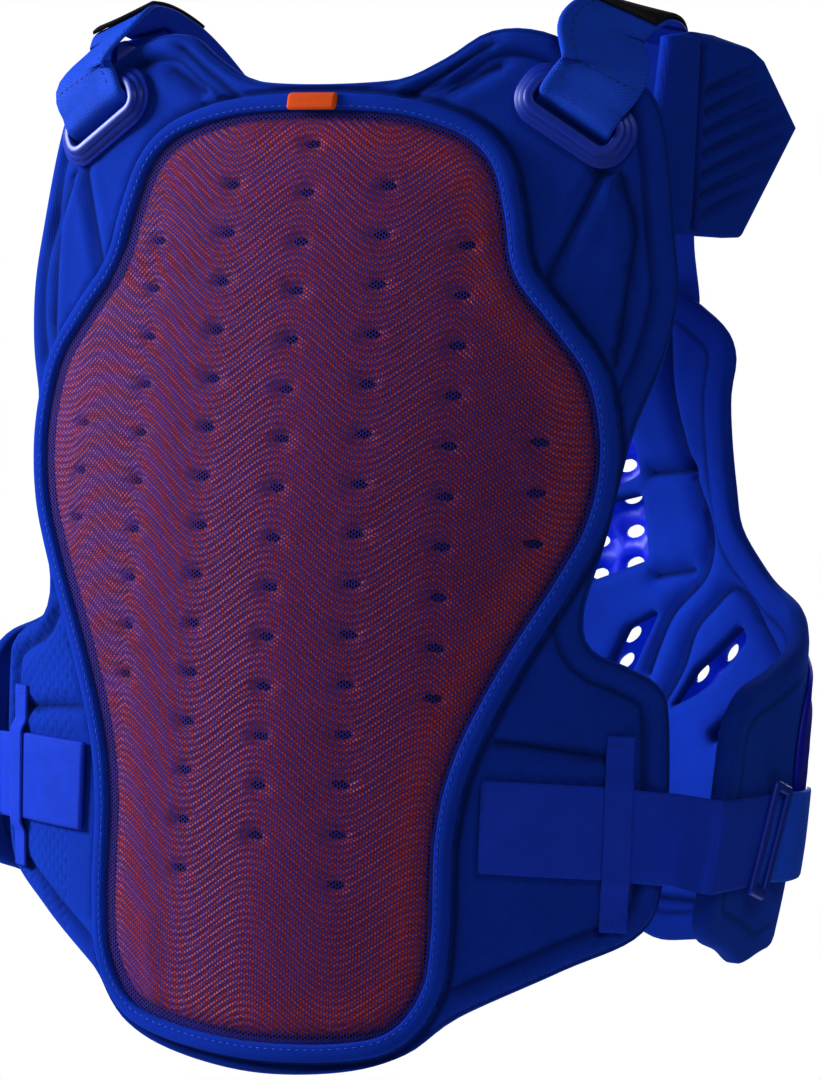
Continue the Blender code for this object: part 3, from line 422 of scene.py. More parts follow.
def smooth_columns(rows, keys):
    """Columns of a table at each key, read off a smooth curve through its rows."""
    rows = np.array(rows)
    keys = np.clip(keys, rows[0, 0], rows[-1, 0])
    i = np.clip(np.searchsorted(rows[:, 0], keys, side="right") - 1, 0, len(rows) - 2)
    before, start = rows[np.maximum(i - 1, 0)], rows[i]
    end, after = rows[i + 1], rows[np.minimum(i + 2, len(rows) - 1)]
    span = end[:, :1] - start[:, :1]
    t = (keys[:, None] - start[:, :1]) / span
    leave = (end - before) / (end[:, :1] - before[:, :1]) * span
    reach = (after - start) / (after[:, :1] - start[:, :1]) * span
    rise = end - start
    values = (start + leave * t + (3 * rise - 2 * leave - reach) * t ** 2
              + (leave + reach - 2 * rise) * t ** 3)
    return values[:, 1:].T


def columns(*values):
    """Numbers and lists of numbers as columns of equal length."""
    return [np.array(column, float) for column in np.broadcast_arrays(*[np.atleast_1d(v) for v in values])]


def round_section(run, radius, half_width):
    """Across, depth and turn at runs along a broad arc that tightens into the side."""
    join_turn = np.arcsin((half_width - SIDE_RADIUS) / (radius - SIDE_RADIUS))
    join = radius * join_turn
    side_end = join + SIDE_RADIUS * (math.pi / 2 - join_turn)
    distance = np.abs(run)
    broad = distance < join
    side_turn = np.minimum(join_turn + (distance - join) / SIDE_RADIUS, math.pi / 2)
    turn = np.where(broad, distance / radius, side_turn)
    centre_across = (radius - SIDE_RADIUS) * np.sin(join_turn)
    centre_depth = radius - (radius - SIDE_RADIUS) * np.cos(join_turn)
    across = np.where(broad, radius * np.sin(turn), centre_across + SIDE_RADIUS * np.sin(turn))
    straight = np.maximum(distance - side_end, 0)
    side_depth = centre_depth - SIDE_RADIUS * np.cos(turn) + straight
    depth = np.where(broad, radius * (1 - np.cos(turn)), side_depth)
    return np.sign(run) * across, depth, np.sign(run) * turn


def on_back(run, up, lift):
    """Places on the back of the torso."""
    run, up, lift = columns(run, up, lift)
    width, radius, lean, _ = smooth_columns(TORSO_SECTIONS, up / BACK_LENGTH)
    across, depth, turn = round_section(run, radius * BACK_RADIUS, width * TORSO_HALF_WIDTH)
    forward = TORSO_DEPTH * (lean - 0.5) + depth - lift * np.cos(turn)
    return np.stack([across + lift * np.sin(turn), forward, up - SEAT_HEIGHT], 1)


def on_front(run, up, lift):
    """Places on the front of the torso."""
    run, up, lift = columns(run, up, lift)
    width, _, _, lean = smooth_columns(TORSO_SECTIONS, up / BACK_LENGTH)
    across, depth, turn = round_section(run, FRONT_RADIUS + 0 * run, width * TORSO_HALF_WIDTH)
    forward = TORSO_DEPTH * (0.5 - lean) - depth + lift * np.cos(turn)
    return np.stack([across + lift * np.sin(turn), forward, up - SEAT_HEIGHT], 1)


def to_side(side, place):
    """A place on the right side, or its mirror image on the left."""
    return lambda across, up, lift: place(across, up, lift) * (side, 1, 1)


def one(place, across, up, lift):
    """One place as a vector."""
    return Vector(place(across, up, lift)[0])


# Flat outlines

def sized(rows, width, length):
    """A table of shares as lengths."""
    return [(across * width, up * length) for across, up in rows]


def both_halves(half):
    """A closed outline from its right half, which starts and ends on the middle line."""
    return half + [(-across, up) for across, up in reversed(half[1:-1])]


def between(before, start, end, after, share):
    """A point part of the way from start to end, on a smooth curve through all four."""
    return (2 * start + (end - before) * share
            + (2 * before - 5 * start + 4 * end - after) * share ** 2
            + (3 * start - before - 3 * end + after) * share ** 3) / 2


def smooth_loop(points, step=0.006, closed=True):
    """A smooth curve through the points, at about the given step."""
    points = np.array(points, float)
    count = len(points)
    loop = []
    for i in range(count if closed else count - 1):
        picks = [i - 1, i, i + 1, i + 2]
        a, b, c, d = points[np.mod(picks, count) if closed else np.clip(picks, 0, count - 1)]
        parts = max(1, round(math.dist(b[:2], c[:2]) / step))
        for t in np.arange(parts) / parts:
            loop.append(between(a, b, c, d, t))
    if not closed:
        loop.append(points[-1])
    return np.array(loop)


def rounded_loop(points, radius, parts=4, step=0.004):
    """A polygon with rounded corners, its sides cut into short runs."""
    points = np.asarray(points, float)
    corners = []
    for before, corner, after in zip(np.roll(points, 1, 0), points, np.roll(points, -1, 0)):
        ends = []
        for other in (before, after):
            way = other - corner
            ends.append(corner + way * min(radius / np.linalg.norm(way), 0.42))
        for t in np.linspace(0, 1, parts + 1):
            corners.append((1 - t) ** 2 * ends[0] + 2 * t * (1 - t) * corner + t * t * ends[1])
    return short_sides(corners, step)


def short_sides(points, step):
    """A closed run of straight sides, cut at about the given step."""
    points = np.asarray(points, float)
    return np.vstack([np.linspace(a, b, max(1, round(math.dist(a, b) / step)), endpoint=False)
                      for a, b in zip(points, np.roll(points, -1, 0))])


def beside(line, shift):
    """A line moved sideways."""
    line = np.asarray(line, float)
    along = np.gradient(line, axis=0)
    along /= np.linalg.norm(along, axis=1)[:, None]
    return line + np.stack([-along[:, 1], along[:, 0]], 1) * shift


def inset(loop, distance):
    """A closed outline moved inwards."""
    loop = np.asarray(loop, float)
    back = loop - np.roll(loop, 1, 0)
    ahead = np.roll(loop, -1, 0) - loop
    area = np.sum(np.roll(loop, 1, 0)[:, 0] * loop[:, 1] - loop[:, 0] * np.roll(loop, 1, 0)[:, 1])
    back /= np.linalg.norm(back, axis=1)[:, None]
    ahead /= np.linalg.norm(ahead, axis=1)[:, None]
    along = back + ahead
    along /= np.linalg.norm(along, axis=1)[:, None]
    stretch = 1 / np.maximum((along * back).sum(1), 0.5)
    inwards = np.stack([-along[:, 1], along[:, 0]], 1) * np.sign(area)
    return loop + inwards * (distance * stretch)[:, None]


def rounded_box(length, height, radius, corner_parts=6):
    """A rounded rectangle about the middle."""
    loop = []
    for side_x, side_y, quarter in ((1, 1, 0), (-1, 1, 1), (-1, -1, 2), (1, -1, 3)):
        for part in range(corner_parts + 1):
            turn = math.pi / 2 * (quarter + part / corner_parts)
            loop.append((side_x * (length / 2 - radius) + radius * math.cos(turn),
                         side_y * (height / 2 - radius) + radius * math.sin(turn)))
    return np.array(loop)


def turned(loop, turn, across, up):
    """A loop turned about its middle and moved to its place."""
    c, s = math.cos(turn), math.sin(turn)
    return np.asarray(loop) @ np.array([[c, s], [-s, c]]) + (across, up)


def oval(length, height, corners=14):
    """Oval about the middle."""
    turns = 2 * math.pi * np.arange(corners) / corners
    return np.stack([np.cos(turns) * length / 2, np.sin(turns) * height / 2], 1)


def closed(loop):
    """A loop with its first point again at the end."""
    return np.vstack([loop, loop[:1]])


def lines_inside(outline, reaches):
    """Closed lines that follow an outline at each distance in from it."""
    return [closed(inset(outline, reach)) for reach in reaches]


def reaches_of(profile, last=None):
    """The distances of an edge profile, without its edge."""
    return [reach for reach, _ in profile[1:last]]


def distance(points, line):
    """Distance from each point to a run of straight lines."""
    best = np.full(len(points), 1e9)
    for start, end in zip(line[:-1], line[1:]):
        along = end - start
        share = np.clip((points - start) @ along / max(along @ along, 1e-12), 0, 1)
        gap = points - start - share[:, None] * along
        best = np.minimum(best, np.einsum("ij,ij->i", gap, gap))
    return np.sqrt(best)


def inside(points, loop):
    """Which points lie inside a loop."""
    across, up = points.T
    odd = np.zeros(len(points), bool)
    for (x0, y0), (x1, y1) in zip(loop, np.roll(loop, -1, 0)):
        crosses = (y0 > up) != (y1 > up)
        rise = y1 - y0 if y1 != y0 else 1e-12
        odd ^= crosses & (across < (x1 - x0) * (up - y0) / rise + x0)
    return odd


def groove(points, line, width, depth):
    """Depth of a soft groove along a line."""
    share = np.clip(1 - (distance(points, np.asarray(line)) / (width / 2)) ** 2, 0, 1)
    return -depth * share ** 2


def crease_shade_share(points, lines, width):
    """How far each point is pressed down by the nearest of some lines, from 0 to 1, used as the share of
    painted shade in creases.
    """
    deepest = np.zeros(len(points))
    for line in lines:
        deepest = np.maximum(deepest, -groove(points, line, width, 1.0))
    return deepest


def step_up(values, low, high):
    """Smooth step from 0 at low to 1 at high."""
    share = np.clip((values - low) / (high - low), 0, 1)
    return share * share * (3 - 2 * share)


def profile_height(profile, reach):
    """Height share of an edge profile at distances in from the edge."""
    table = np.array(profile)
    return np.interp(reach, table[:, 0], table[:, 1])


def cut(outline, openings, guides, pitch):
    """Points and triangles of a flat piece whose edges follow its outline, openings and guides."""
    lines = [closed(outline)] + [closed(opening) for opening in openings] + [np.asarray(g) for g in guides]
    low, high = np.min(outline, 0), np.max(outline, 0)
    lattice = []
    for row, up in enumerate(np.arange(low[1], high[1], pitch * 0.87)):
        across = np.arange(low[0] + (row % 2) * pitch / 2, high[0], pitch)
        lattice.append(np.stack([across, np.full(len(across), up)], 1))
    lattice = np.vstack(lattice)
    keep = inside(lattice, outline)
    for line in lines:
        close = keep.nonzero()[0]
        keep[close[distance(lattice[close], line) < pitch * 0.6]] = False
    points, edges = [], []
    for line in lines:
        edges += [(len(points) + i, len(points) + i + 1) for i in range(len(line) - 1)]
        points += [Vector(point) for point in line]
    points += [Vector(point) for point in lattice[keep]]
    found, _, triangles, _, _, _ = delaunay_2d_cdt(points, edges, [], 1, 1e-6)
    flat = np.array([tuple(point) for point in found])
    triangles = np.array([face for face in triangles if len(face) == 3])
    middles = flat[triangles].mean(1)
    kept = inside(middles, outline)
    for opening in openings:
        kept &= ~inside(middles, opening)
    triangles = triangles[kept]
    used = np.unique(triangles)
    number = np.full(len(flat), -1)
    number[used] = np.arange(len(used))
    return flat[used], number[triangles]


# Pieces

def new_piece(name, points, faces, material, flat=None, crease_shade_and_strain=None):
    """A mesh piece that rides on the vest, with its flat pattern kept as its texture places."""
    mesh = bpy.data.meshes.new(name)
    corners = [tuple(int(i) for i in face) for face in faces]
    mesh.from_pydata([tuple(point) for point in points], [], corners)
    mesh.update()
    if flat is not None:
        places = mesh.uv_layers.new(name="flat")
        corner = np.zeros(len(mesh.loops), np.int32)
        mesh.loops.foreach_get("vertex_index", corner)
        places.data.foreach_set("uv", np.asarray(flat, np.float32)[corner].ravel())
    # Per point: painted shade along pressed lines on the padded pieces, and strain on the net.
    if crease_shade_and_strain is not None:
        store = mesh.attributes.new("crease_shade_and_strain", "FLOAT", "POINT")
        store.data.foreach_set("value", np.asarray(crease_shade_and_strain, np.float32))
    edit = bmesh.new()
    edit.from_mesh(mesh)
    bmesh.ops.dissolve_degenerate(edit, dist=1e-7, edges=edit.edges)
    if all(len(edge.link_faces) == 2 for edge in edit.edges):
        bmesh.ops.recalc_face_normals(edit, faces=edit.faces)
        if edit.calc_volume(signed=True) < 0:
            bmesh.ops.reverse_faces(edit, faces=edit.faces)
    edit.to_mesh(mesh)
    edit.free()
    mesh.shade_smooth()
    piece = bpy.data.objects.new(name, mesh)
    bpy.context.scene.collection.objects.link(piece)
    mesh.materials.append(material)
    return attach(piece, "root")


def stands_for(piece, node):
    """The piece replaces a CAD node, which is hidden."""
    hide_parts(node)
    return piece


def rim_edges(triangles):
    """Directed edges that have one triangle only."""
    edges = np.vstack([triangles[:, [0, 1]], triangles[:, [1, 2]], triangles[:, [2, 0]]])
    known = {(a, b) for a, b in edges.tolist()}
    return [(a, b) for a, b in edges.tolist() if (b, a) not in known]


def thick_piece(name, flat, triangles, low, high, place, material, crease_shade_and_strain=None):
    """A closed piece between two lifts over its flat points."""
    count = len(flat)
    both = None if crease_shade_and_strain is None else np.concatenate([crease_shade_and_strain, crease_shade_and_strain])
    points = np.vstack([place(flat[:, 0], flat[:, 1], high), place(flat[:, 0], flat[:, 1], low)])
    faces = triangles.tolist() + (triangles[:, ::-1] + count).tolist()
    faces += [(b, a, a + count, b + count) for a, b in rim_edges(triangles)]
    return new_piece(name, points, faces, material, np.vstack([flat, flat]), both)


def bands(name, rings, place, material):
    """A piece lofted through rings of equal length, each a list of (across, up, lift)."""
    rings = np.array(rings, float)
    count, size = rings.shape[:2]
    spots = rings.reshape(-1, 3)
    points = place(spots[:, 0], spots[:, 1], spots[:, 2])
    faces = []
    for ring in range(count):
        after = (ring + 1) % count
        for i in range(size):
            j = (i + 1) % size
            faces.append((ring * size + i, ring * size + j, after * size + j, after * size + i))
    return new_piece(name, points, faces, material, spots[:, :2])


def ring_band(name, loops, profile, height, base, place, material):
    """A closed band whose cross section follows a profile between inset loops of equal length."""
    rings = []
    for loop, (_, share) in zip(loops, profile):
        rings.append(np.column_stack([loop, np.full(len(loop), base + share * height)]))
    return bands(name, rings, place, material)


def strip(name, section, runs, place, material):
    """A flat band: a closed section of (across, lift) carried along runs, with closed ends."""
    section = np.array(section, float)
    size = len(section)
    points, flat = [], []
    for run in runs:
        points.append(place(section[:, 0], np.full(size, run), section[:, 1]))
        flat.append(np.column_stack([section[:, 0], np.full(size, run)]))
    faces = []
    for ring in range(len(runs) - 1):
        for i in range(size):
            j = (i + 1) % size
            faces.append((ring * size + i, ring * size + j, (ring + 1) * size + j, (ring + 1) * size + i))
    last = (len(runs) - 1) * size
    half = size // 2
    for start in (0, last):
        faces += [(start + i, start + i + 1, start + size - 2 - i, start + size - 1 - i)
                  for i in range(half - 1)]
    return new_piece(name, np.vstack(points), faces, material, np.vstack(flat))


def stitches(name, line, lift, place, material, sizes):
    """A run of stitches along a flat line, each a short thread sunk at both ends."""
    line = np.asarray(line, float)
    runs = np.concatenate([[0], np.cumsum(np.linalg.norm(np.diff(line, axis=0), axis=1))])
    pitch = sizes.stitch_length + sizes.stitch_gap
    points, faces, flat = [], [], []
    thick = sizes.thread / 2
    for start in np.arange(0, runs[-1] - sizes.stitch_length, pitch):
        shares = np.array([0, 0.25, 0.75, 1])
        at = start + shares * sizes.stitch_length
        spots = np.stack([np.interp(at, runs, line[:, k]) for k in (0, 1)], 1)
        along = (spots[-1] - spots[0]) / max(np.linalg.norm(spots[-1] - spots[0]), 1e-9)
        aside = np.array([-along[1], along[0]])
        first = len(flat)
        for spot, swell in zip(spots, (0.35, 1, 1, 0.35)):
            for sideways, out in ((-1, -0.6), (1, -0.6), (0.7, 0.7), (-0.7, 0.7)):
                flat.append(spot + aside * sideways * thick * swell)
                points.append((*flat[-1], lift + (out * swell - (0.7 if swell < 1 else 0)) * thick))
        for ring in range(3):
            for i in range(4):
                j = (i + 1) % 4
                low = first + ring * 4
                faces.append((low + i, low + j, low + 4 + j, low + 4 + i))
        for end in (first, first + 12):
            faces.append((end, end + 1, end + 2, end + 3))
    spots = np.array(points)
    return new_piece(name, place(spots[:, 0], spots[:, 1], spots[:, 2]), faces, material, np.array(flat))


# Finishes

class Wire:
    """A socket in a finish: expressions on wires add Math nodes."""

    def __init__(self, finish, socket):
        self.finish = finish
        self.socket = socket

    def __add__(self, other):
        return self.finish.maths("ADD", self, other)

    def __sub__(self, other):
        return self.finish.maths("SUBTRACT", self, other)

    def __rsub__(self, other):
        return self.finish.maths("SUBTRACT", other, self)

    def __mul__(self, other):
        return self.finish.maths("MULTIPLY", self, other)

    def __truediv__(self, other):
        return self.finish.maths("DIVIDE", self, other)

    __radd__ = __add__
    __rmul__ = __mul__


class Finish:
    """A material and its shader, built node by node."""

    def __init__(self, name, roughness, sheen=0.0, specular=0.5, glow=0.0, bloom=BLUE_BLOOM):
        self.material = bpy.data.materials.new(name)
        self.material.use_nodes = True
        self.tree = self.material.node_tree
        self.shader = self.tree.nodes["Principled BSDF"]
        for socket, value in (
                ("Roughness", roughness), ("Sheen Weight", sheen), ("Sheen Roughness", 0.45),
                ("Sheen Tint", (*bloom, 1.0)), ("Specular IOR Level", specular),
                ("Subsurface Weight", glow), ("Subsurface Radius", (1.0, 1.0, 1.0)),
                ("Subsurface Scale", 0.02)):
            self.shader.inputs[socket].default_value = value

    def node(self, kind, settings=(), inputs=(), output=0):
        """A node of a kind, with its settings and then its sockets' values or links."""
        made = self.tree.nodes.new("ShaderNode" + kind)
        for name, value in dict(settings).items():
            setattr(made, name, value)
        for name, value in dict(inputs).items():
            if isinstance(value, Wire):
                self.tree.links.new(value.socket, made.inputs[name])
            else:
                made.inputs[name].default_value = value
        return Wire(self, made.outputs[output])

    def maths(self, operation, first, second=0.0):
        """A Math node."""
        return self.node("Math", {"operation": operation}, {0: first, 1: second})

    def blend(self, share, first, second):
        """A mix of two colours."""
        picks = [value if isinstance(value, Wire) else (*value, 1.0) for value in (first, second)]
        return self.node("Mix", {"data_type": "RGBA"}, {0: share, 6: picks[0], 7: picks[1]}, 2)

    def places(self):
        """Across and up on the flat pattern."""
        spot = self.node("UVMap", {"uv_map": "flat"})
        split = self.node("SeparateXYZ", (), {0: spot})
        up = Wire(self, split.socket.node.outputs[1])
        return spot, split, up

    def grain(self, spot, scale, detail=3.0):
        """Cloudy noise over the flat pattern."""
        inputs = {"Vector": spot, "Scale": scale, "Detail": detail, "Roughness": 0.6}
        return self.node("TexNoise", (), inputs)

    def wave(self, value, pitch):
        """Sine of a length, one turn a pitch."""
        return self.maths("SINE", value * (2 * math.pi / pitch))

    def feed(self, **sockets):
        """Links to the shader's own sockets, given by names with underscores."""
        for name, wire in sockets.items():
            self.tree.links.new(wire.socket, self.shader.inputs[name.replace("_", " ")])
        return self.material

    def relief(self, height, depth, strength=1.0):
        """A bump from a height between about 0 and 1."""
        return self.node("Bump", (), {"Strength": strength, "Distance": depth, "Height": height})


def shade(colour, share):
    """A colour made darker or lighter."""
    return tuple(min(value * share, 1.0) for value in colour)


def knit_finish(name, colour, pitch=0.0011, dimples=False):
    """Knitted cloth: fine columns of loops, soft sheen, a slightly cloudy colour and painted shade along
    pressed lines.
    """
    look = Finish(name, 0.85, sheen=0.40, specular=0.06)
    spot, across, up = look.places()
    columns_of_loops = look.wave(across + look.wave(up, pitch * 1.6) * (pitch * 0.18), pitch)
    loops = look.maths("ABSOLUTE", look.wave(up, pitch * 1.6))
    knit = columns_of_loops * 0.5 + 0.5 + loops * -0.35
    cloud = look.grain(spot, 26.0)
    fuzz = look.grain(spot, 900.0, 2.0)
    tone = look.blend(cloud, shade(colour, 0.80), shade(colour, 1.18))
    tone = look.blend(knit * 0.22, tone, shade(colour, 0.45))
    # Painted shade: the colour is darker along creases and pressed lines.
    crease_shade_and_strain = look.node("Attribute", {"attribute_name": "crease_shade_and_strain"}, (), 2)
    tone = look.blend(crease_shade_and_strain * 0.70, tone, shade(colour, 0.12))
    height = knit * 0.5 + fuzz * 0.5
    if dimples:
        bumps = look.wave(across, DIMPLE_PITCH) * look.wave(up, DIMPLE_PITCH)
        dots = look.maths("MAXIMUM", bumps, 0.0)
        wing = look.maths("GREATER_THAN", look.maths("ABSOLUTE", across), DIMPLE_ACROSS)
        low = look.maths("LESS_THAN", up, DIMPLE_TOP)
        height = height - dots * wing * low * 2.2
    return look.feed(Base_Color=tone, Normal=look.relief(height, 0.0004, 0.55))


def webbing_finish(name, colour, across_pitch, along_pitch, contrast=0.45, diagonal=0.0):
    """Woven webbing: ribs over and under across the band."""
    look = Finish(name, 0.70, sheen=0.20, specular=0.16)
    spot, across, along = look.places()
    lean = along + across * diagonal
    over = look.wave(across, across_pitch) * look.wave(lean, along_pitch)
    ribs = look.maths("ABSOLUTE", look.wave(lean, along_pitch * 2))
    cloud = look.grain(spot, 60.0)
    weave = over * 0.5 + 0.5
    tone = look.blend(cloud, shade(colour, 0.82), shade(colour, 1.15))
    tone = look.blend(weave * contrast, tone, shade(colour, 0.35))
    height = weave * 0.7 + ribs * 0.3 + look.grain(spot, 700.0, 2.0) * 0.25
    return look.feed(Base_Color=tone, Normal=look.relief(height, 0.0005, 0.7))


def net_finish(name, colour, pitch):
    """Open net: tall holes in staggered columns, wider where the net is strained."""
    look = Finish(name, 0.75, sheen=0.55, specular=0.10, bloom=LILAC_BLOOM)
    spot, across, up = look.places()
    columns_pitch = pitch * 1.44
    hole_across, hole_up = pitch * 0.28, pitch * 0.36

    def off_middle(run, spacing, half_hole, shift):
        """How far a run lies from the middle of its nearest hole, in half holes."""
        return (look.maths("FRACT", run / spacing + (100.0 + shift)) - 0.5) * (spacing / half_hole)

    def holes(shift):
        """Square of the distance from the nearest hole's middle, which is 1 at its edge."""
        aside = off_middle(across, columns_pitch, hole_across, shift)
        above = off_middle(up, pitch, hole_up, shift)
        return aside * aside + above * above

    reach = look.maths("MINIMUM", holes(0.0), holes(0.5))
    strain = look.node("Attribute", {"attribute_name": "crease_shade_and_strain"}, (), 2)
    thread = look.maths("GREATER_THAN", reach, strain * 0.30 + 0.95)
    cloud = look.grain(spot, 45.0)
    tone = look.blend(cloud, shade(colour, 0.75), shade(colour, 1.35))
    return look.feed(Base_Color=tone, Alpha=thread, Normal=look.relief(reach * 0.3, 0.0004, 0.6))


def insert_finish(name, colour):
    """Soft foam with fine ribs that run in waves across the columns of holes, and painted shade in the
    ribs' valleys.
    """
    look = Finish(name, 0.55, specular=0.4)
    _, across, up = look.places()
    wave = look.maths("COSINE", across * (math.pi / HOLE_COLUMN_PITCH))
    bow = look.maths("MAXIMUM", look.maths("ABSOLUTE", across) - 2 * HOLE_COLUMN_PITCH, 0.0)
    level = up - wave * INSERT_WAVE + bow * INSERT_DROP
    ribs = look.wave(level, INSERT_RIB_PITCH) * 0.5 + 0.5
    broad = look.wave(level, HOLE_ROW_PITCH) * 0.5 + 0.5
    # Painted shade: the colour is darker in the valleys between the ribs.
    tone = look.blend(ribs, shade(colour, 0.50), colour)
    tone = look.blend(broad * 0.15, tone, shade(colour, 0.5))
    return look.feed(Base_Color=tone, Normal=look.relief(ribs, 0.0008, 0.8))


def plastic_finish(name, colour, roughness, glow=0.0):
    """Moulded plastic with a faint grain, lighter on its sharp edges."""
    look = Finish(name, roughness, glow=glow)
    spot = look.node("TexCoord", (), (), 3)
    cloud = look.grain(spot, 40.0)
    fine = look.grain(spot, 2200.0, 1.0)
    pointiness = look.node("NewGeometry", (), (), 7)
    edge = look.maths("MAXIMUM", pointiness - 0.52, 0.0) * 3.0
    tone = look.blend(cloud, shade(colour, 0.85), shade(colour, 1.12))
    # Lighter colour on sharp edges, where the surface's pointiness is high.
    tone = look.blend(look.maths("MINIMUM", edge, 0.5), tone, shade(colour, 2.2))
    rough = cloud * 0.12 + (roughness - 0.06)
    return look.feed(Base_Color=tone, Roughness=rough, Normal=look.relief(fine, 0.0001, 0.25))


def hook_finish(name, colour):
    """Hook patch: dense stiff bristles."""
    look = Finish(name, 0.9, specular=0.2)
    spot, across, up = look.places()
    rows = look.wave(across, 0.0014) * look.wave(up, 0.0014) * 0.5 + 0.5
    fuzz = look.grain(spot, 1500.0, 2.0)
    tone = look.blend(fuzz, shade(colour, 0.6), shade(colour, 3.0))
    return look.feed(Base_Color=tone, Normal=look.relief(rows * 0.6 + fuzz * 0.6, 0.0008, 1.0))


def thread_finish(name, colour):
    """Twisted sewing thread."""
    look = Finish(name, 0.6, sheen=0.2)
    _, across, up = look.places()
    twist = look.wave(across + up, 0.0007) * 0.5 + 0.5
    tone = look.blend(twist, shade(colour, 0.7), shade(colour, 1.3))
    return look.feed(Base_Color=tone)


# Shapes shared by several pieces

def panel_outline():
    """Outline of the foam back."""
    return smooth_loop(both_halves(sized(PANEL_EDGE, PANEL_HALF_WIDTH, BACK_LENGTH)))


def binding_outline():
    """Outer edge of the binding round the net."""
    return smooth_loop(both_halves(sized(POCKET_EDGE, POCKET_HALF_WIDTH, BACK_LENGTH)), 0.005)


def both_sides(lines, width, length):
    """Lines of shares on the right half, and their mirror images."""
    return [np.array(sized(line, side * width, length)) for side in (1, -1) for line in lines]


def level_place(middle_across, middle_up, base_lift):
    """Place of a stiff flat piece that touches the back at its middle, with its own axes."""
    step = 0.001
    middle = one(on_back, middle_across, middle_up, base_lift)
    along = (one(on_back, middle_across + step, middle_up, base_lift) - middle).normalized()
    rise = one(on_back, middle_across, middle_up + step, base_lift) - middle
    rise = (rise - along * rise.dot(along)).normalized()
    out = along.cross(rise)

    def place(across, up, lift):
        across, up, lift = columns(across, up, lift)
        return (np.array(middle) + across[:, None] * np.array(along) + up[:, None] * np.array(rise)
                + lift[:, None] * np.array(out))

    return place


def strap_way():
    """Way of the right shoulder strap: out of the ring's slot, over its upper bar and the shoulder."""
    ring_place = level_place(RING_ACROSS, RING_UP, PANEL_THICKNESS + LAYER_GAP)
    over = RING_HEIGHT + LAYER_GAP + STRAP_THICKNESS / 2
    edge = RING_SLOT / 2
    tilt_side = one(ring_place, math.cos(RING_TILT), -math.sin(RING_TILT), 0) - one(ring_place, 0, 0, 0)
    rows = []
    for reach, lift in (
            (-edge * 0.55, STRAP_THICKNESS), (-edge * 0.15, STRAP_THICKNESS * 1.8), (edge * 0.3, over),
            (edge + RING_BAR * 0.5, over + STRAP_THICKNESS / 2), (edge + RING_BAR * 2, over)):
        place = one(ring_place, math.sin(RING_TILT) * reach, math.cos(RING_TILT) * reach, lift)
        rows.append((*place, *tilt_side))
    back = rows[-1][1]
    lap_lift = FRONT_THICKNESS + 2 * FRONT_GAP + STRAP_THICKNESS / 2
    front_top = one(on_front, STRAP_FRONT_ACROSS, FRONT_LENGTH, lap_lift)
    front_end = one(on_front, STRAP_FRONT_ACROSS, FRONT_LENGTH - STRAP_LAP, lap_lift)
    front_side = one(on_front, STRAP_FRONT_ACROSS + STRAP_WIDTH / 2, FRONT_LENGTH, lap_lift) - front_top
    for forward, inward, drop, tilt, turn in STRAP_ARC:
        across = RING_ACROSS + (STRAP_FRONT_ACROSS - RING_ACROSS) * inward
        side = Vector((math.cos(turn), math.sin(turn), math.tan(tilt))).normalized()
        rows.append((across, back + (front_top.y - back) * forward, front_top.z * drop, *side))
    rows.append((*front_top, *front_side.normalized()))
    rows.append((*front_end, *front_side.normalized()))
    rows = np.array(rows)
    ends = 2 * rows[[0, -1]] - rows[[1, -2]]
    rows = np.vstack([ends[:1], rows, ends[1:]])
    way = []
    for i in range(1, len(rows) - 2):
        a, b, c, d = rows[i - 1:i + 3]
        parts = max(1, round(math.dist(b[:3], c[:3]) / 0.0025))
        for t in np.arange(parts + (i == len(rows) - 3)) / parts:
            way.append(between(a, b, c, d, t))
    return np.array(way)


def unit(vectors):
    """Vectors of length one."""
    return vectors / np.linalg.norm(vectors, axis=1)[:, None]


def on_strap(way):
    """Place on the shoulder strap: across it, the run along it, and the lift off its middle."""
    middles = way[:, :3]
    runs = np.concatenate([[0], np.cumsum(np.linalg.norm(np.diff(middles, axis=0), axis=1))])
    along = unit(np.gradient(middles, axis=0))
    sides = way[:, 3:] - along * (way[:, 3:] * along).sum(1)[:, None]
    sides = unit(sides)
    outs = np.cross(sides, along)

    def place(across, run, lift):
        across, run, lift = columns(across, run, lift)
        at = [np.stack([np.interp(run, runs, table[:, k]) for k in range(3)], 1)
              for table in (middles, sides, outs)]
        beyond = np.clip(run - runs[-1], 0, None)[:, None]
        return at[0] + at[1] * across[:, None] + at[2] * lift[:, None] + along[-1] * beyond

    return place, runs


def run_at(way, runs, forward):
    """Run where a way first comes to a place forward."""
    first = np.argmax(way[:, 1] >= forward)
    return runs[first]


def pad_place():
    """Place of the right shoulder pad: forward of its seam, up from its lower edge, lift outwards.

    Above its top edge the pad's tongue goes in under the strap.
    """
    forward = np.array((math.cos(PAD_FLARE), math.sin(PAD_FLARE), 0))
    out = np.array((math.sin(PAD_FLARE), -math.cos(PAD_FLARE), 0))
    way = strap_way()
    under_strap, runs = on_strap(way)
    seam_run = run_at(way, runs, PAD_FORWARD)
    outer = under_strap(STRAP_WIDTH / 2, seam_run, 0)[0]
    seam = outer + np.array((PAD_CLEAR, 0, -PAD_DROP - PAD_WIDTH))

    def place(ahead, up, lift):
        ahead, up, lift = columns(ahead, up, lift)
        rise = np.minimum(up, PAD_WIDTH)[:, None] * np.array((0, 0, 1))
        flat = seam + forward * ahead[:, None] + rise + out * lift[:, None]
        reach = np.clip(up - PAD_WIDTH, 0, None)
        under = lift - STRAP_THICKNESS / 2 - LAYER_GAP - TONGUE_THICKNESS
        inwards = STRAP_WIDTH / 2 - np.clip(reach - TONGUE_RISE, 0, None)
        tucked = under_strap(inwards, seam_run + ahead, under)
        share = np.clip(reach / TONGUE_RISE, 0, 1)[:, None]
        return flat + (tucked - flat) * share

    return place


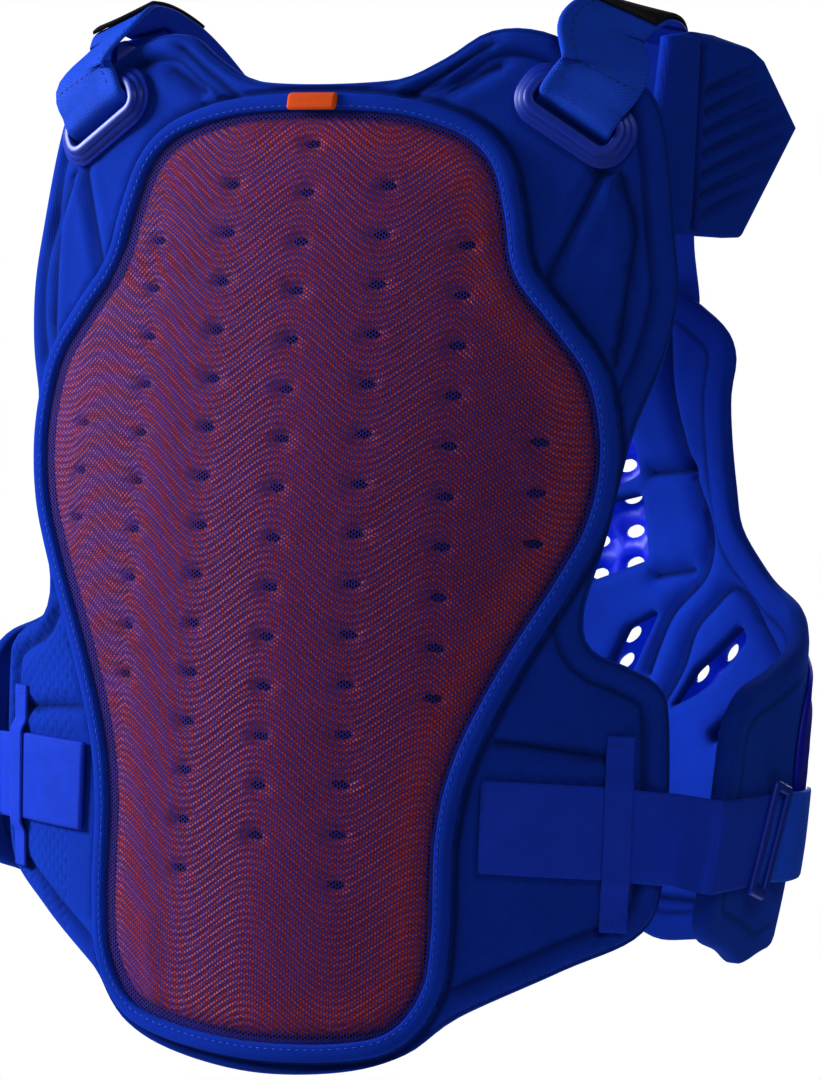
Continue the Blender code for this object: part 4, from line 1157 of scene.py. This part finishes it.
def belt_way():
    """Runs along the right waist belt where the wing ends and the flap, slide and plate start."""
    wing_end = PANEL_HALF_WIDTH + BELT_CLEAR
    flap_edge = FRONT_HALF_WIDTH + FLAP_CLEAR
    wing = one(on_back, wing_end, BELT_UP, PANEL_THICKNESS)
    flap_start = wing_end + (one(on_front, flap_edge, BELT_UP, FRONT_THICKNESS) - wing).length
    middle_front = flap_start + flap_edge
    return wing_end, flap_start, middle_front - SLIDE_ACROSS, middle_front - PLATE_HALF_WIDTH


BELT_STOPS = belt_way()


def belt_height(run):
    """Height of the middle of the belt: it drops a little towards the front."""
    return BELT_UP - BELT_DROP * (np.clip(run, POCKET_HALF_WIDTH, BELT_STOPS[1]) - POCKET_HALF_WIDTH)


def on_belt(across, run, lift):
    """Place on the right waist belt: over the wing, straight to the flap, over it and over the plate."""
    across, run, lift = columns(across, run, lift)
    wing_end, flap_start, _, plate_start = BELT_STOPS
    flap_edge = FRONT_HALF_WIDTH + FLAP_CLEAR
    up = belt_height(run) + across
    climb = np.clip((run - plate_start) / BELT_RAMP + 1.2, 0, 1) * (PLATE_THICKNESS + FRONT_GAP)
    front_run = flap_edge - np.clip(run - flap_start, 0, None)
    over_flap = on_front(front_run, up, lift + FRONT_THICKNESS + climb)
    over_wing = on_back(np.minimum(run, wing_end), up, lift + PANEL_THICKNESS)
    share = np.clip((run - wing_end) / (flap_start - wing_end), 0, 1)[:, None]
    return over_wing + (over_flap - over_wing) * share


def binding_reach(low, high):
    """Furthest run of the binding from the middle, between two heights."""
    loop = binding_outline()
    return loop[(loop[:, 1] > low) & (loop[:, 1] < high), 0].max()


def band_section(width, thickness, low, bound=0.0):
    """Section of a flat band from one edge round to the other, with a thicker bound edge."""
    half = width / 2
    roll = min(0.0060, half * 0.4)
    rows = [(-half, 0.3), (-half + 0.0004, 0.80), (-half + roll * 0.25, 1.0 + bound * 0.8),
            (-half + roll * 0.5, 1.0 + bound), (-half + roll * 0.85, 1.0 + bound * 0.6),
            (-half + roll, 1.0), (-half * 0.3, 1.0), (half * 0.1, 1.0), (half * 0.5, 1.0),
            (half - 0.0015, 1.0), (half - 0.0004, 0.85), (half, 0.3)]
    top = [(across, low + share * thickness) for across, share in rows]
    base = [(across, low) for across, _ in reversed(rows)]
    return top + base


# Operators

class LookOperator:
    """What the vest's operators share."""
    bl_options = {"REGISTER", "UNDO"}

    def looks(self, context):
        """The sizes and colours."""
        return context.scene.vest_sizes, context.scene.vest_colours


class VEST_OT_back(LookOperator, Operator):
    """Foam back covered in cloth, with a raised rim, embossed lines and a pocket"""
    bl_idname = "vest.back"
    bl_label = "Back panel"

    def execute(self, context):
        sizes, colours = self.looks(context)
        outline = panel_outline()
        pocket = inset(binding_outline(), BINDING_WIDTH + POCKET_RIM)
        ring = binding_outline()
        moat = closed(inset(ring, -MOAT_OUT))
        ribs = both_sides(BACK_RIBS, PANEL_HALF_WIDTH, BACK_LENGTH)
        guides = lines_inside(outline, reaches_of(PANEL_PROFILE)) + lines_inside(pocket, (0.0, 0.0015))
        guides += [moat] + lines_inside(ring, (-0.0045,)) + ribs
        flat, triangles = cut(outline, [], guides, sizes.cloth_pitch)
        reach = distance(flat, closed(outline))
        share = profile_height(PANEL_PROFILE, reach)
        high = PANEL_THICKNESS * share
        near_binding = step_up(distance(flat, closed(ring)), 0.004, 0.011)
        high = np.where(inside(flat, ring), PANEL_THICKNESS, high * near_binding
                        + np.maximum(high, PANEL_THICKNESS * 0.93) * (1 - near_binding))
        for rib in ribs:
            high += groove(flat, rib, RIB_WIDTH, sizes.groove_depth)
            for shift in (RIB_SHOULDER_OUT, -RIB_SHOULDER_OUT):
                high -= groove(flat, beside(rib, shift), RIB_SHOULDER_WIDTH, RIB_SHOULDER_RISE)
        high += groove(flat, moat, MOAT_WIDTH, MOAT_DEPTH)
        depth = step_up(distance(flat, closed(pocket)), 0.0, POCKET_WALL) * inside(flat, pocket)
        high -= depth * (PANEL_THICKNESS - POCKET_FLOOR)
        swell = np.sin(flat[:, 0] * 61) * np.sin(flat[:, 1] * 47 + 1.3)
        high += SWELL_RISE * swell * (1 - depth) * step_up(reach, 0.018, 0.03)
        low = PANEL_THICKNESS * 0.28 * (1 - step_up(reach, 0.0, 0.004))
        # Painted shade along the ribs, the rim and seam lines and the line round the binding, kept on the
        # mesh for the finish.
        crease_shade_and_strain = crease_shade_share(flat, ribs, 0.0060)
        crease_shade_and_strain = np.maximum(crease_shade_and_strain, 0.8 * crease_shade_share(flat, lines_inside(outline, [RIM_LINE_IN]), 0.0048))
        crease_shade_and_strain = np.maximum(crease_shade_and_strain, 0.7 * crease_shade_share(flat, lines_inside(outline, [SEAM_LINE_IN]), 0.0022))
        crease_shade_and_strain = np.maximum(crease_shade_and_strain, crease_shade_share(flat, [moat], 0.0052))
        piece = thick_piece("back_panel_foam", flat, triangles, low * 0.5, high, on_back,
                            knit_finish("blue_knit", colours.cloth, dimples=True), crease_shade_and_strain)
        stands_for(piece, "back_panel")
        return {"FINISHED"}


class VEST_OT_insert(LookOperator, Operator):
    """Spine insert with its columns of oval holes"""
    bl_idname = "vest.insert"
    bl_label = "Spine insert"

    def execute(self, context):
        _, colours = self.looks(context)
        outline = inset(binding_outline(), BINDING_WIDTH + POCKET_RIM + INSERT_MARGIN)
        holes = []
        for column in range(-3, 4):
            first, last = INSERT_ROWS[abs(column)]
            top = HOLE_TOP + (WAVE_RISE if column % 2 else 0)
            for row in range(first, last + 1):
                hole = oval(HOLE_LENGTH, HOLE_HEIGHT)
                holes.append(turned(hole, 0, column * HOLE_COLUMN_PITCH, top - row * HOLE_ROW_PITCH))
        flat, triangles = cut(outline, holes, lines_inside(outline, (0.001, 0.003)), INSERT_MESH)
        low = POCKET_FLOOR + LAYER_GAP
        rounding = step_up(distance(flat, closed(outline)), -0.001, 0.003)
        high = low + (PANEL_THICKNESS - LAYER_GAP - low) * (0.4 + 0.6 * rounding)
        piece = thick_piece("spine_insert", flat, triangles, low, high, on_back,
                            insert_finish("orange_ribbed_foam", colours.insert))
        stands_for(piece, "back_insert")
        return {"FINISHED"}


class VEST_OT_net(LookOperator, Operator):
    """Open net over the insert"""
    bl_idname = "vest.net"
    bl_label = "Net"

    def execute(self, context):
        sizes, colours = self.looks(context)
        outline = inset(binding_outline(), BINDING_WIDTH - NET_LAP)
        flat, triangles = cut(outline, [], lines_inside(outline, [0.006]), NET_MESH)
        reach = distance(flat, closed(outline))
        lift = PANEL_THICKNESS + LAYER_GAP + NET_GAP + NET_RISE * step_up(reach, 0.0, 0.012)
        for start, end, width in NET_FOLDS:
            lift += FOLD_RISE * np.exp(-(distance(flat, np.array([start, end])) / width) ** 2)
        points = on_back(flat[:, 0], flat[:, 1], lift)
        strain = np.exp(-((reach - 0.017) / 0.010) ** 2) * step_up(flat[:, 0], -0.16, 0.12)
        piece = new_piece("back_net", points, triangles.tolist(),
                          net_finish("blue_net", colours.net, sizes.net_pitch), flat, strain)
        stands_for(piece, "back_mesh")
        return {"FINISHED"}


class VEST_OT_binding(LookOperator, Operator):
    """Rounded binding round the net, with its stitching"""
    bl_idname = "vest.binding"
    bl_label = "Binding"

    def execute(self, context):
        sizes, colours = self.looks(context)
        outline = binding_outline()
        base = PANEL_THICKNESS + LAYER_GAP
        loops = [inset(outline, reach) for reach, _ in BINDING_PROFILE]
        piece = ring_band("binding_band", loops, BINDING_PROFILE, BINDING_HEIGHT, base, on_back,
                          knit_finish("blue_binding", colours.binding, 0.0009))
        stands_for(piece, "mesh_binding")
        seam = stitches("binding_stitches", closed(inset(outline, 0.0066)), base + BINDING_HEIGHT * 0.93,
                        on_back, thread_finish("blue_thread", colours.thread), sizes)
        return {"FINISHED"}


class VEST_OT_tab(LookOperator, Operator):
    """Small folded tab at the top of the binding"""
    bl_idname = "vest.tab"
    bl_label = "Pull tab"

    def execute(self, context):
        _, colours = self.looks(context)
        base = PANEL_THICKNESS + BINDING_HEIGHT + 2 * LAYER_GAP
        middle = POCKET_EDGE[0][1] * BACK_LENGTH - BINDING_WIDTH / 2
        outline = turned(rounded_box(TAB_WIDTH, TAB_HEIGHT, TAB_HEIGHT / 4), 0, 0, middle)
        guides = lines_inside(outline, (0.0005, 0.0013, 0.0024))
        flat, triangles = cut(outline, [], guides, TAB_MESH)
        rounding = step_up(distance(flat, closed(outline)), -0.0006, 0.0016)
        fold = [(-TAB_WIDTH / 2, middle - 0.0012), (TAB_WIDTH / 2, middle - 0.0008)]
        crease = groove(flat, fold, 0.002, 0.0005)
        high = base + TAB_THICKNESS * (0.25 + 0.75 * rounding) + crease
        piece = thick_piece("pull_tab_tape", flat, triangles, base, high, on_back,
                            webbing_finish("orange_tape", colours.tab, 0.0011, 0.0008, 0.25))
        stands_for(piece, "pull_tab")
        return {"FINISHED"}


class VEST_OT_rings(LookOperator, Operator):
    """Moulded shoulder rings with stepped sides"""
    bl_idname = "vest.rings"
    bl_label = "Shoulder rings"

    def execute(self, context):
        _, colours = self.looks(context)
        finish = plastic_finish("blue_moulded", colours.moulded, 0.42)
        length = STRAP_WIDTH + 2 * STRAP_PLAY + 2 * RING_BAR
        height = RING_SLOT + 2 * RING_BAR
        radius = RING_BAR * 1.4
        place = level_place(RING_ACROSS, RING_UP, PANEL_THICKNESS + LAYER_GAP)
        loops = [turned(rounded_box(length - 2 * reach, height - 2 * reach, radius - reach * 0.98, 8),
                        -RING_TILT, 0, 0) for reach, _ in RING_PROFILE]
        for name, side in SIDES:
            there = to_side(side, place)
            piece = ring_band("ring_" + name, loops, RING_PROFILE, RING_HEIGHT, 0, there, finish)
            stands_for(piece, "shoulder_ring_" + name)
        return {"FINISHED"}


class VEST_OT_straps(LookOperator, Operator):
    """Shoulder straps with a bound inner edge, and their hook patches"""
    bl_idname = "vest.straps"
    bl_label = "Shoulder straps"

    def execute(self, context):
        sizes, colours = self.looks(context)
        web = webbing_finish("blue_webbing", colours.webbing, 0.0016, 0.0011, 0.5, 0.35)
        hook = hook_finish("black_hooks", colours.hook)
        thread = thread_finish("strap_thread", shade(colours.thread, 0.4))
        way = strap_way()
        place, runs = on_strap(way)
        section = band_section(STRAP_WIDTH, STRAP_THICKNESS, -STRAP_THICKNESS / 2, 0.35)
        patch_section = band_section(STRAP_WIDTH - 0.002, HOOK_THICKNESS, STRAP_THICKNESS / 2 + HOOK_GAP)
        start = run_at(way, runs, HOOK_FORWARD)
        hook_runs = np.linspace(start, start + HOOK_LENGTH, HOOK_RINGS)
        top = STRAP_THICKNESS * 0.52
        for name, side in SIDES:
            there = to_side(side, place)
            piece = strip("strap_" + name, section, runs, there, web)
            stands_for(piece, "shoulder_strap_" + name)
            patch = strip("hook_patch_" + name, patch_section, hook_runs, there, hook)
            stands_for(patch, "strap_hook_" + name)
            edge = -STRAP_WIDTH / 2 + STRAP_SEAM_IN
            seam = [(edge, run) for run in np.arange(STRAP_SEAM_RUN, start, 0.004)]
            hem = [(-STRAP_WIDTH / 2 + 0.008, STRAP_HEM_RUN), (STRAP_WIDTH / 2 - 0.003, STRAP_HEM_RUN)]
            for part, line in (("edge", seam), ("hem", hem)):
                row = stitches(f"strap_{part}_stitches_{name}", line, top, there, thread, sizes)
        return {"FINISHED"}


class VEST_OT_shoulder_pads(LookOperator, Operator):
    """Grooved pads beside the shoulders"""
    bl_idname = "vest.shoulder_pads"
    bl_label = "Shoulder pads"

    def execute(self, context):
        sizes, colours = self.looks(context)
        knit = knit_finish("blue_pad_knit", colours.cloth)
        edge = sized(PAD_EDGE, PAD_LENGTH, PAD_WIDTH)
        tongue_end = PAD_WIDTH + TONGUE_RISE + STRAP_WIDTH * 0.6
        left, right = edge[0][0], edge[1][0]
        outline = np.array(edge[:1] + [(left, tongue_end), (right, tongue_end)] + edge[1:])
        outline = short_sides(outline, 0.004)
        lines = []
        for i in range(PAD_GROOVES):
            rise = PAD_WIDTH * PAD_GROOVE_BASE + i * PAD_GROOVE_PITCH
            lines.append(np.array([(PAD_LENGTH * PAD_GROOVE_START, rise),
                                   (PAD_LENGTH * PAD_GROOVE_END, rise + PAD_LENGTH * PAD_GROOVE_RISE)]))
        seam = np.array([(0.0, 0.004), (0.0, PAD_WIDTH * 0.92)])
        guides = lines_inside(outline, reaches_of(PAD_PROFILE, 4)) + lines + [seam]
        for up in (PAD_WIDTH, PAD_WIDTH + 0.003):
            guides.append(np.array([(left, up), (right, up)]))
        flat, triangles = cut(outline, [], guides, PAD_MESH)
        share = profile_height(PAD_PROFILE, distance(flat, closed(outline)))
        thin = step_up(flat[:, 1], PAD_WIDTH - 0.006, PAD_WIDTH + 0.001)
        high = share * (PAD_THICKNESS * (1 - thin) + TONGUE_THICKNESS * thin)
        clear = step_up(distance(flat, closed(outline)), 0.003, 0.015) * (1 - thin)
        for line in lines:
            high += groove(flat, line, PAD_GROOVE_WIDTH, sizes.groove_depth * 1.2) * clear
        high += groove(flat, seam, PAD_SEAM_WIDTH, sizes.groove_depth) * (1 - thin)
        high = np.maximum(high, PAD_LEAST)
        low = np.zeros(len(flat))
        # Painted shade along the slanted grooves and the seam.
        crease_shade_and_strain = np.maximum(crease_shade_share(flat, lines, 0.0070) * clear * 0.8, crease_shade_share(flat, [seam], 0.0040))
        place = pad_place()
        for name, side in SIDES:
            piece = thick_piece("shoulder_pad_foam_" + name, flat, triangles, low, high,
                                to_side(side, place), knit, crease_shade_and_strain)
            stands_for(piece, "shoulder_pad_" + name)
        return {"FINISHED"}


class VEST_OT_front(LookOperator, Operator):
    """Padded front with a thick collar edge, channels and windows"""
    bl_idname = "vest.front"
    bl_label = "Front pad"

    def execute(self, context):
        sizes, colours = self.looks(context)
        outline = smooth_loop(both_halves(sized(FRONT_EDGE, FRONT_HALF_WIDTH, FRONT_LENGTH)))
        windows = [rounded_loop(window, WINDOW_CORNER) for window in
                   both_sides(FRONT_WINDOWS, FRONT_HALF_WIDTH, FRONT_LENGTH)]
        channels = both_sides(FRONT_CHANNELS, FRONT_HALF_WIDTH, FRONT_LENGTH)
        channels = [smooth_loop(channel, 0.005, closed=False) for channel in channels]
        guides = lines_inside(outline, reaches_of(COLLAR_PROFILE))
        for window in windows:
            guides += lines_inside(window, WINDOW_GUIDES)
        guides += [beside(channel, shift) for channel in channels for shift in CHANNEL_GUIDES]
        flat, triangles = cut(outline, windows, guides, sizes.cloth_pitch)
        share = profile_height(COLLAR_PROFILE, distance(flat, closed(outline)))
        rounding = profile_height(PAD_PROFILE, distance(flat, closed(outline)))
        for window in windows:
            soft = profile_height(PAD_PROFILE, distance(flat, closed(window)))
            share = np.minimum(share, soft)
            rounding = np.minimum(rounding, soft)
        low = FRONT_THICKNESS * 0.5 * (1 - share)
        for channel in channels:
            low -= groove(flat, channel, CHANNEL_WIDTH, sizes.groove_depth * 1.1)
            low -= groove(flat, channel, CHANNEL_LINE_WIDTH, sizes.groove_depth * 0.8)
        high = FRONT_THICKNESS * (0.5 + 0.5 * rounding)
        # Painted shade along the channels, the collar's line and the windows' edges.
        crease_shade_and_strain = crease_shade_share(flat, channels, 0.0065)
        crease_shade_and_strain = np.maximum(crease_shade_and_strain, 0.8 * crease_shade_share(flat, lines_inside(outline, [COLLAR_LINE_IN]), 0.0050))
        crease_shade_and_strain = np.maximum(crease_shade_and_strain, 0.6 * crease_shade_share(flat, [closed(window) for window in windows], 0.0040))
        piece = thick_piece("front_pad_foam", flat, triangles, low, high, on_front,
                            knit_finish("blue_front_knit", colours.cloth), crease_shade_and_strain)
        stands_for(piece, "front_pad")
        return {"FINISHED"}


class VEST_OT_plate(LookOperator, Operator):
    """Hard plate over the front, with rounded edges and oval vents"""
    bl_idname = "vest.plate"
    bl_label = "Front plate"

    def execute(self, context):
        _, colours = self.looks(context)
        outline = smooth_loop(both_halves(sized(PLATE_EDGE, PLATE_HALF_WIDTH, FRONT_LENGTH)))
        vents = []
        for side in (1, -1):
            for across, up, turn in PLATE_VENTS:
                middle = (side * across * FRONT_HALF_WIDTH, up * FRONT_LENGTH)
                vents.append(turned(oval(VENT_LENGTH, VENT_HEIGHT), side * math.radians(turn), *middle))
        guides = lines_inside(outline, reaches_of(PLATE_PROFILE) + list(PLATE_STEP))
        flat, triangles = cut(outline, vents, guides, PLATE_MESH)
        reach = distance(flat, closed(outline))
        share = PLATE_RIM_SHARE + (1 - PLATE_RIM_SHARE) * step_up(reach, *PLATE_STEP)
        share = profile_height(PLATE_PROFILE, reach) * share
        low = FRONT_THICKNESS + FRONT_GAP
        high = low + PLATE_THICKNESS * share
        piece = thick_piece("front_plate_shell", flat, triangles, low, high, on_front,
                            plastic_finish("blue_hard_plate", colours.plate, 0.50, glow=1.0))
        stands_for(piece, "front_plate")
        return {"FINISHED"}


class VEST_OT_belts(LookOperator, Operator):
    """Waist belts, front straps, keepers and slides"""
    bl_idname = "vest.belts"
    bl_label = "Waist belts"

    def execute(self, context):
        sizes, colours = self.looks(context)
        elastic = webbing_finish("blue_elastic", colours.elastic, 0.0022, 0.0009, 0.25)
        web = webbing_finish("blue_front_webbing", shade(colours.webbing, 1.25), 0.0016, 0.0012, 0.5)
        tape = webbing_finish("blue_tape", colours.elastic, 0.0012, 0.0010, 0.2)
        moulded = plastic_finish("blue_slide", colours.moulded, 0.4)
        thread = thread_finish("belt_thread", shade(colours.thread, 0.4))
        slide = BELT_STOPS[2]
        start = binding_reach(BELT_UP - BELT_WIDTH, BELT_UP + BELT_WIDTH) + LAYER_GAP
        ends = {
            "waist_belt": (start, slide - LAYER_GAP / 2, elastic, "belt_elastic"),
            "front_strap": (slide + LAYER_GAP / 2, slide + FRONT_STRAP_LENGTH, web, "front_webbing"),
        }
        section = band_section(BELT_WIDTH, BELT_THICKNESS, FRONT_GAP)
        base = BELT_THICKNESS + FRONT_GAP + LAYER_GAP
        length = SLIDE_SLOT + 2 * SLIDE_BAR
        height = BELT_WIDTH + 2 * STRAP_PLAY + 2 * SLIDE_BAR
        loops = []
        for reach, _ in SLIDE_PROFILE:
            corner = max(SLIDE_CORNER - reach * 0.5, SLIDE_LEAST_CORNER)
            loop = rounded_box(height - 2 * reach, length - 2 * reach, corner, 4)
            loops.append(turned(loop, SLIDE_TILT, 0, slide))

        def leaning(across, run, lift):
            """Place on the belt, whose end leans with the slide."""
            across, run, lift = columns(across, run, lift)
            near = 1 - step_up(np.abs(run - slide), *LEAN_STRETCH)
            return on_belt(across, run + across * math.tan(SLIDE_TILT) * near, lift)

        for name, side in SIDES:
            there = to_side(side, leaning)
            for node, (low, high, finish, made) in ends.items():
                runs = np.linspace(low, high, BAND_RINGS)
                piece = strip(f"{made}_{name}", section, runs, there, finish)
                stands_for(piece, f"{node}_{name}")
            ring = ring_band("slide_" + name, loops, SLIDE_PROFILE, SLIDE_THICKNESS, base,
                             to_side(side, on_belt), moulded)
            stands_for(ring, "belt_slide_" + name)
            self.keeper(name, side, tape, thread, sizes)
        return {"FINISHED"}

    def keeper(self, name, side, tape, thread, sizes):
        """Narrow loop down the wing, over the belt."""
        level = float(belt_height(KEEPER_ACROSS))
        over_belt = BELT_WIDTH / 2 + STRAP_PLAY

        def place(across, up, lift):
            """Place on the keeper, which climbs over the belt."""
            across, up, lift = columns(across, up, lift)
            climb = step_up(over_belt + KEEPER_RAMP - np.abs(up), 0, KEEPER_RAMP)
            return on_back(KEEPER_ACROSS + across, level + up, lift + climb * (BELT_THICKNESS + FRONT_GAP))

        low = PANEL_THICKNESS + LAYER_GAP
        there = to_side(side, place)
        section = band_section(KEEPER_WIDTH, KEEPER_THICKNESS, low)
        runs = np.linspace(-KEEPER_LENGTH / 2, KEEPER_LENGTH / 2, BAND_RINGS)
        piece = strip("keeper_" + name, section, runs, there, tape)
        stands_for(piece, "belt_keeper_" + name)
        half = KEEPER_WIDTH / 2 - KEEPER_SEAM_SIDE
        for part, end in (("top", 1), ("bottom", -1)):
            reach = end * (KEEPER_LENGTH / 2 - KEEPER_SEAM_END)
            row = stitches(f"keeper_{part}_stitches_{name}", [(-half, reach), (half, reach)],
                           low + KEEPER_THICKNESS, there, thread, sizes)


class VEST_OT_stage(LookOperator, Operator):
    """Pale floor, soft light and the camera"""
    bl_idname = "vest.stage"
    bl_label = "Stage"

    def execute(self, context):
        scene = context.scene
        self.backdrop(scene)
        self.surround(scene)
        self.lights(scene)
        scene.view_settings.view_transform = "Standard"
        scene.view_settings.gamma = CONTRAST
        self.camera(scene)
        return {"FINISHED"}

    def backdrop(self, scene):
        """Pale round floor, below the main view."""
        edit = bmesh.new()
        bmesh.ops.create_circle(edit, cap_ends=True, segments=96, radius=FLOOR_RADIUS)
        bmesh.ops.translate(edit, verts=edit.verts, vec=(0, 0, FLOOR_LEVEL))
        mesh = bpy.data.meshes.new("studio_floor")
        edit.to_mesh(mesh)
        edit.free()
        look = Finish("studio_paper", 0.9, specular=0.1)
        spot = look.node("TexCoord", (), (), 3)
        paper = look.blend(look.grain(spot, 3.0), (0.90, 0.90, 0.90), (0.94, 0.94, 0.94))
        mesh.materials.append(look.feed(Base_Color=paper))
        floor = bpy.data.objects.new("studio_floor", mesh)
        scene.collection.objects.link(floor)

    def surround(self, scene):
        """White surround that lights the vest only faintly."""
        world = bpy.data.worlds.new("surround")
        world.use_nodes = True
        tree = world.node_tree
        faint = tree.nodes["Background"]
        faint.inputs["Color"].default_value = (0.90, 0.95, 1.0, 1)
        faint.inputs["Strength"].default_value = AMBIENT
        white = tree.nodes.new("ShaderNodeBackground")
        white.inputs["Color"].default_value = (1, 1, 1, 1)
        pick = tree.nodes.new("ShaderNodeMixShader")
        tree.links.new(tree.nodes.new("ShaderNodeLightPath").outputs["Is Camera Ray"], pick.inputs[0])
        tree.links.new(faint.outputs[0], pick.inputs[1])
        tree.links.new(white.outputs[0], pick.inputs[2])
        tree.links.new(pick.outputs[0], tree.nodes["World Output"].inputs["Surface"])
        scene.world = world

    def lights(self, scene):
        """Soft boxes round the vest."""
        for name, spot, power, size in LIGHTS:
            light = bpy.data.lights.new(name, "AREA")
            light.energy = power
            light.size = size
            lamp = bpy.data.objects.new(name, light)
            lamp.location = spot
            lamp.rotation_mode = "QUATERNION"
            lamp.rotation_quaternion = (Vector(LIGHT_AIM) - Vector(spot)).to_track_quat("-Z", "Y")
            scene.collection.objects.link(lamp)

    def camera(self, scene):
        """Camera at the photograph's viewing angle."""
        azimuth, elevation = math.radians(CAMERA_AZIMUTH), math.radians(CAMERA_ELEVATION)
        roll = math.radians(CAMERA_ROLL)
        back = Vector((math.sin(azimuth) * math.cos(elevation), -math.cos(azimuth) * math.cos(elevation),
                       math.sin(elevation)))
        right = Vector((math.cos(azimuth), math.sin(azimuth), 0))
        up = back.cross(right)
        rise = up * math.cos(roll) - right * math.sin(roll)
        side = rise.cross(back)
        data = bpy.data.cameras.new("photo_camera")
        data.sensor_width = SENSOR
        data.lens = CAMERA_FOCAL * SENSOR / PHOTO_HEIGHT
        data.clip_start, data.clip_end = 0.05, 30
        camera = bpy.data.objects.new("photo_camera", data)
        camera.matrix_world = Matrix.Translation(Vector(CAMERA_TARGET) + back * CAMERA_DISTANCE) @ Matrix(
            (side, rise, back)).transposed().to_4x4()
        scene.collection.objects.link(camera)
        scene.camera = camera


OPERATORS = (
    VEST_OT_back, VEST_OT_insert, VEST_OT_net, VEST_OT_binding, VEST_OT_tab, VEST_OT_rings,
    VEST_OT_straps, VEST_OT_shoulder_pads, VEST_OT_front, VEST_OT_plate, VEST_OT_belts, VEST_OT_stage,
)


class VEST_PT_panel(Panel):
    """Lists the vest's sizes, colours and pieces"""
    bl_idname = "VEST_PT_panel"
    bl_label = "Vest"
    bl_space_type = "VIEW_3D"
    bl_region_type = "UI"
    bl_category = "Vest"

    def draw(self, context):
        for group in (context.scene.vest_sizes, context.scene.vest_colours):
            for name in group.__annotations__:
                self.layout.prop(group, name)
        for operator in OPERATORS:
            self.layout.operator(operator.bl_idname)


CLASSES = (VestSizes, VestColours, *OPERATORS, VEST_PT_panel)


def register():
    """Adds the classes and the scene's settings."""
    for each in CLASSES:
        bpy.utils.register_class(each)
    bpy.types.Scene.vest_sizes = PointerProperty(type=VestSizes)
    bpy.types.Scene.vest_colours = PointerProperty(type=VestColours)


def unregister():
    """Takes them away again."""
    del bpy.types.Scene.vest_sizes
    del bpy.types.Scene.vest_colours
    for each in reversed(CLASSES):
        bpy.utils.unregister_class(each)


def main():
    """Builds every piece."""
    register()
    for operator in OPERATORS:
        group, name = operator.bl_idname.split(".")
        getattr(getattr(bpy.ops, group), name)()


if __name__ == "__main__":
    main()
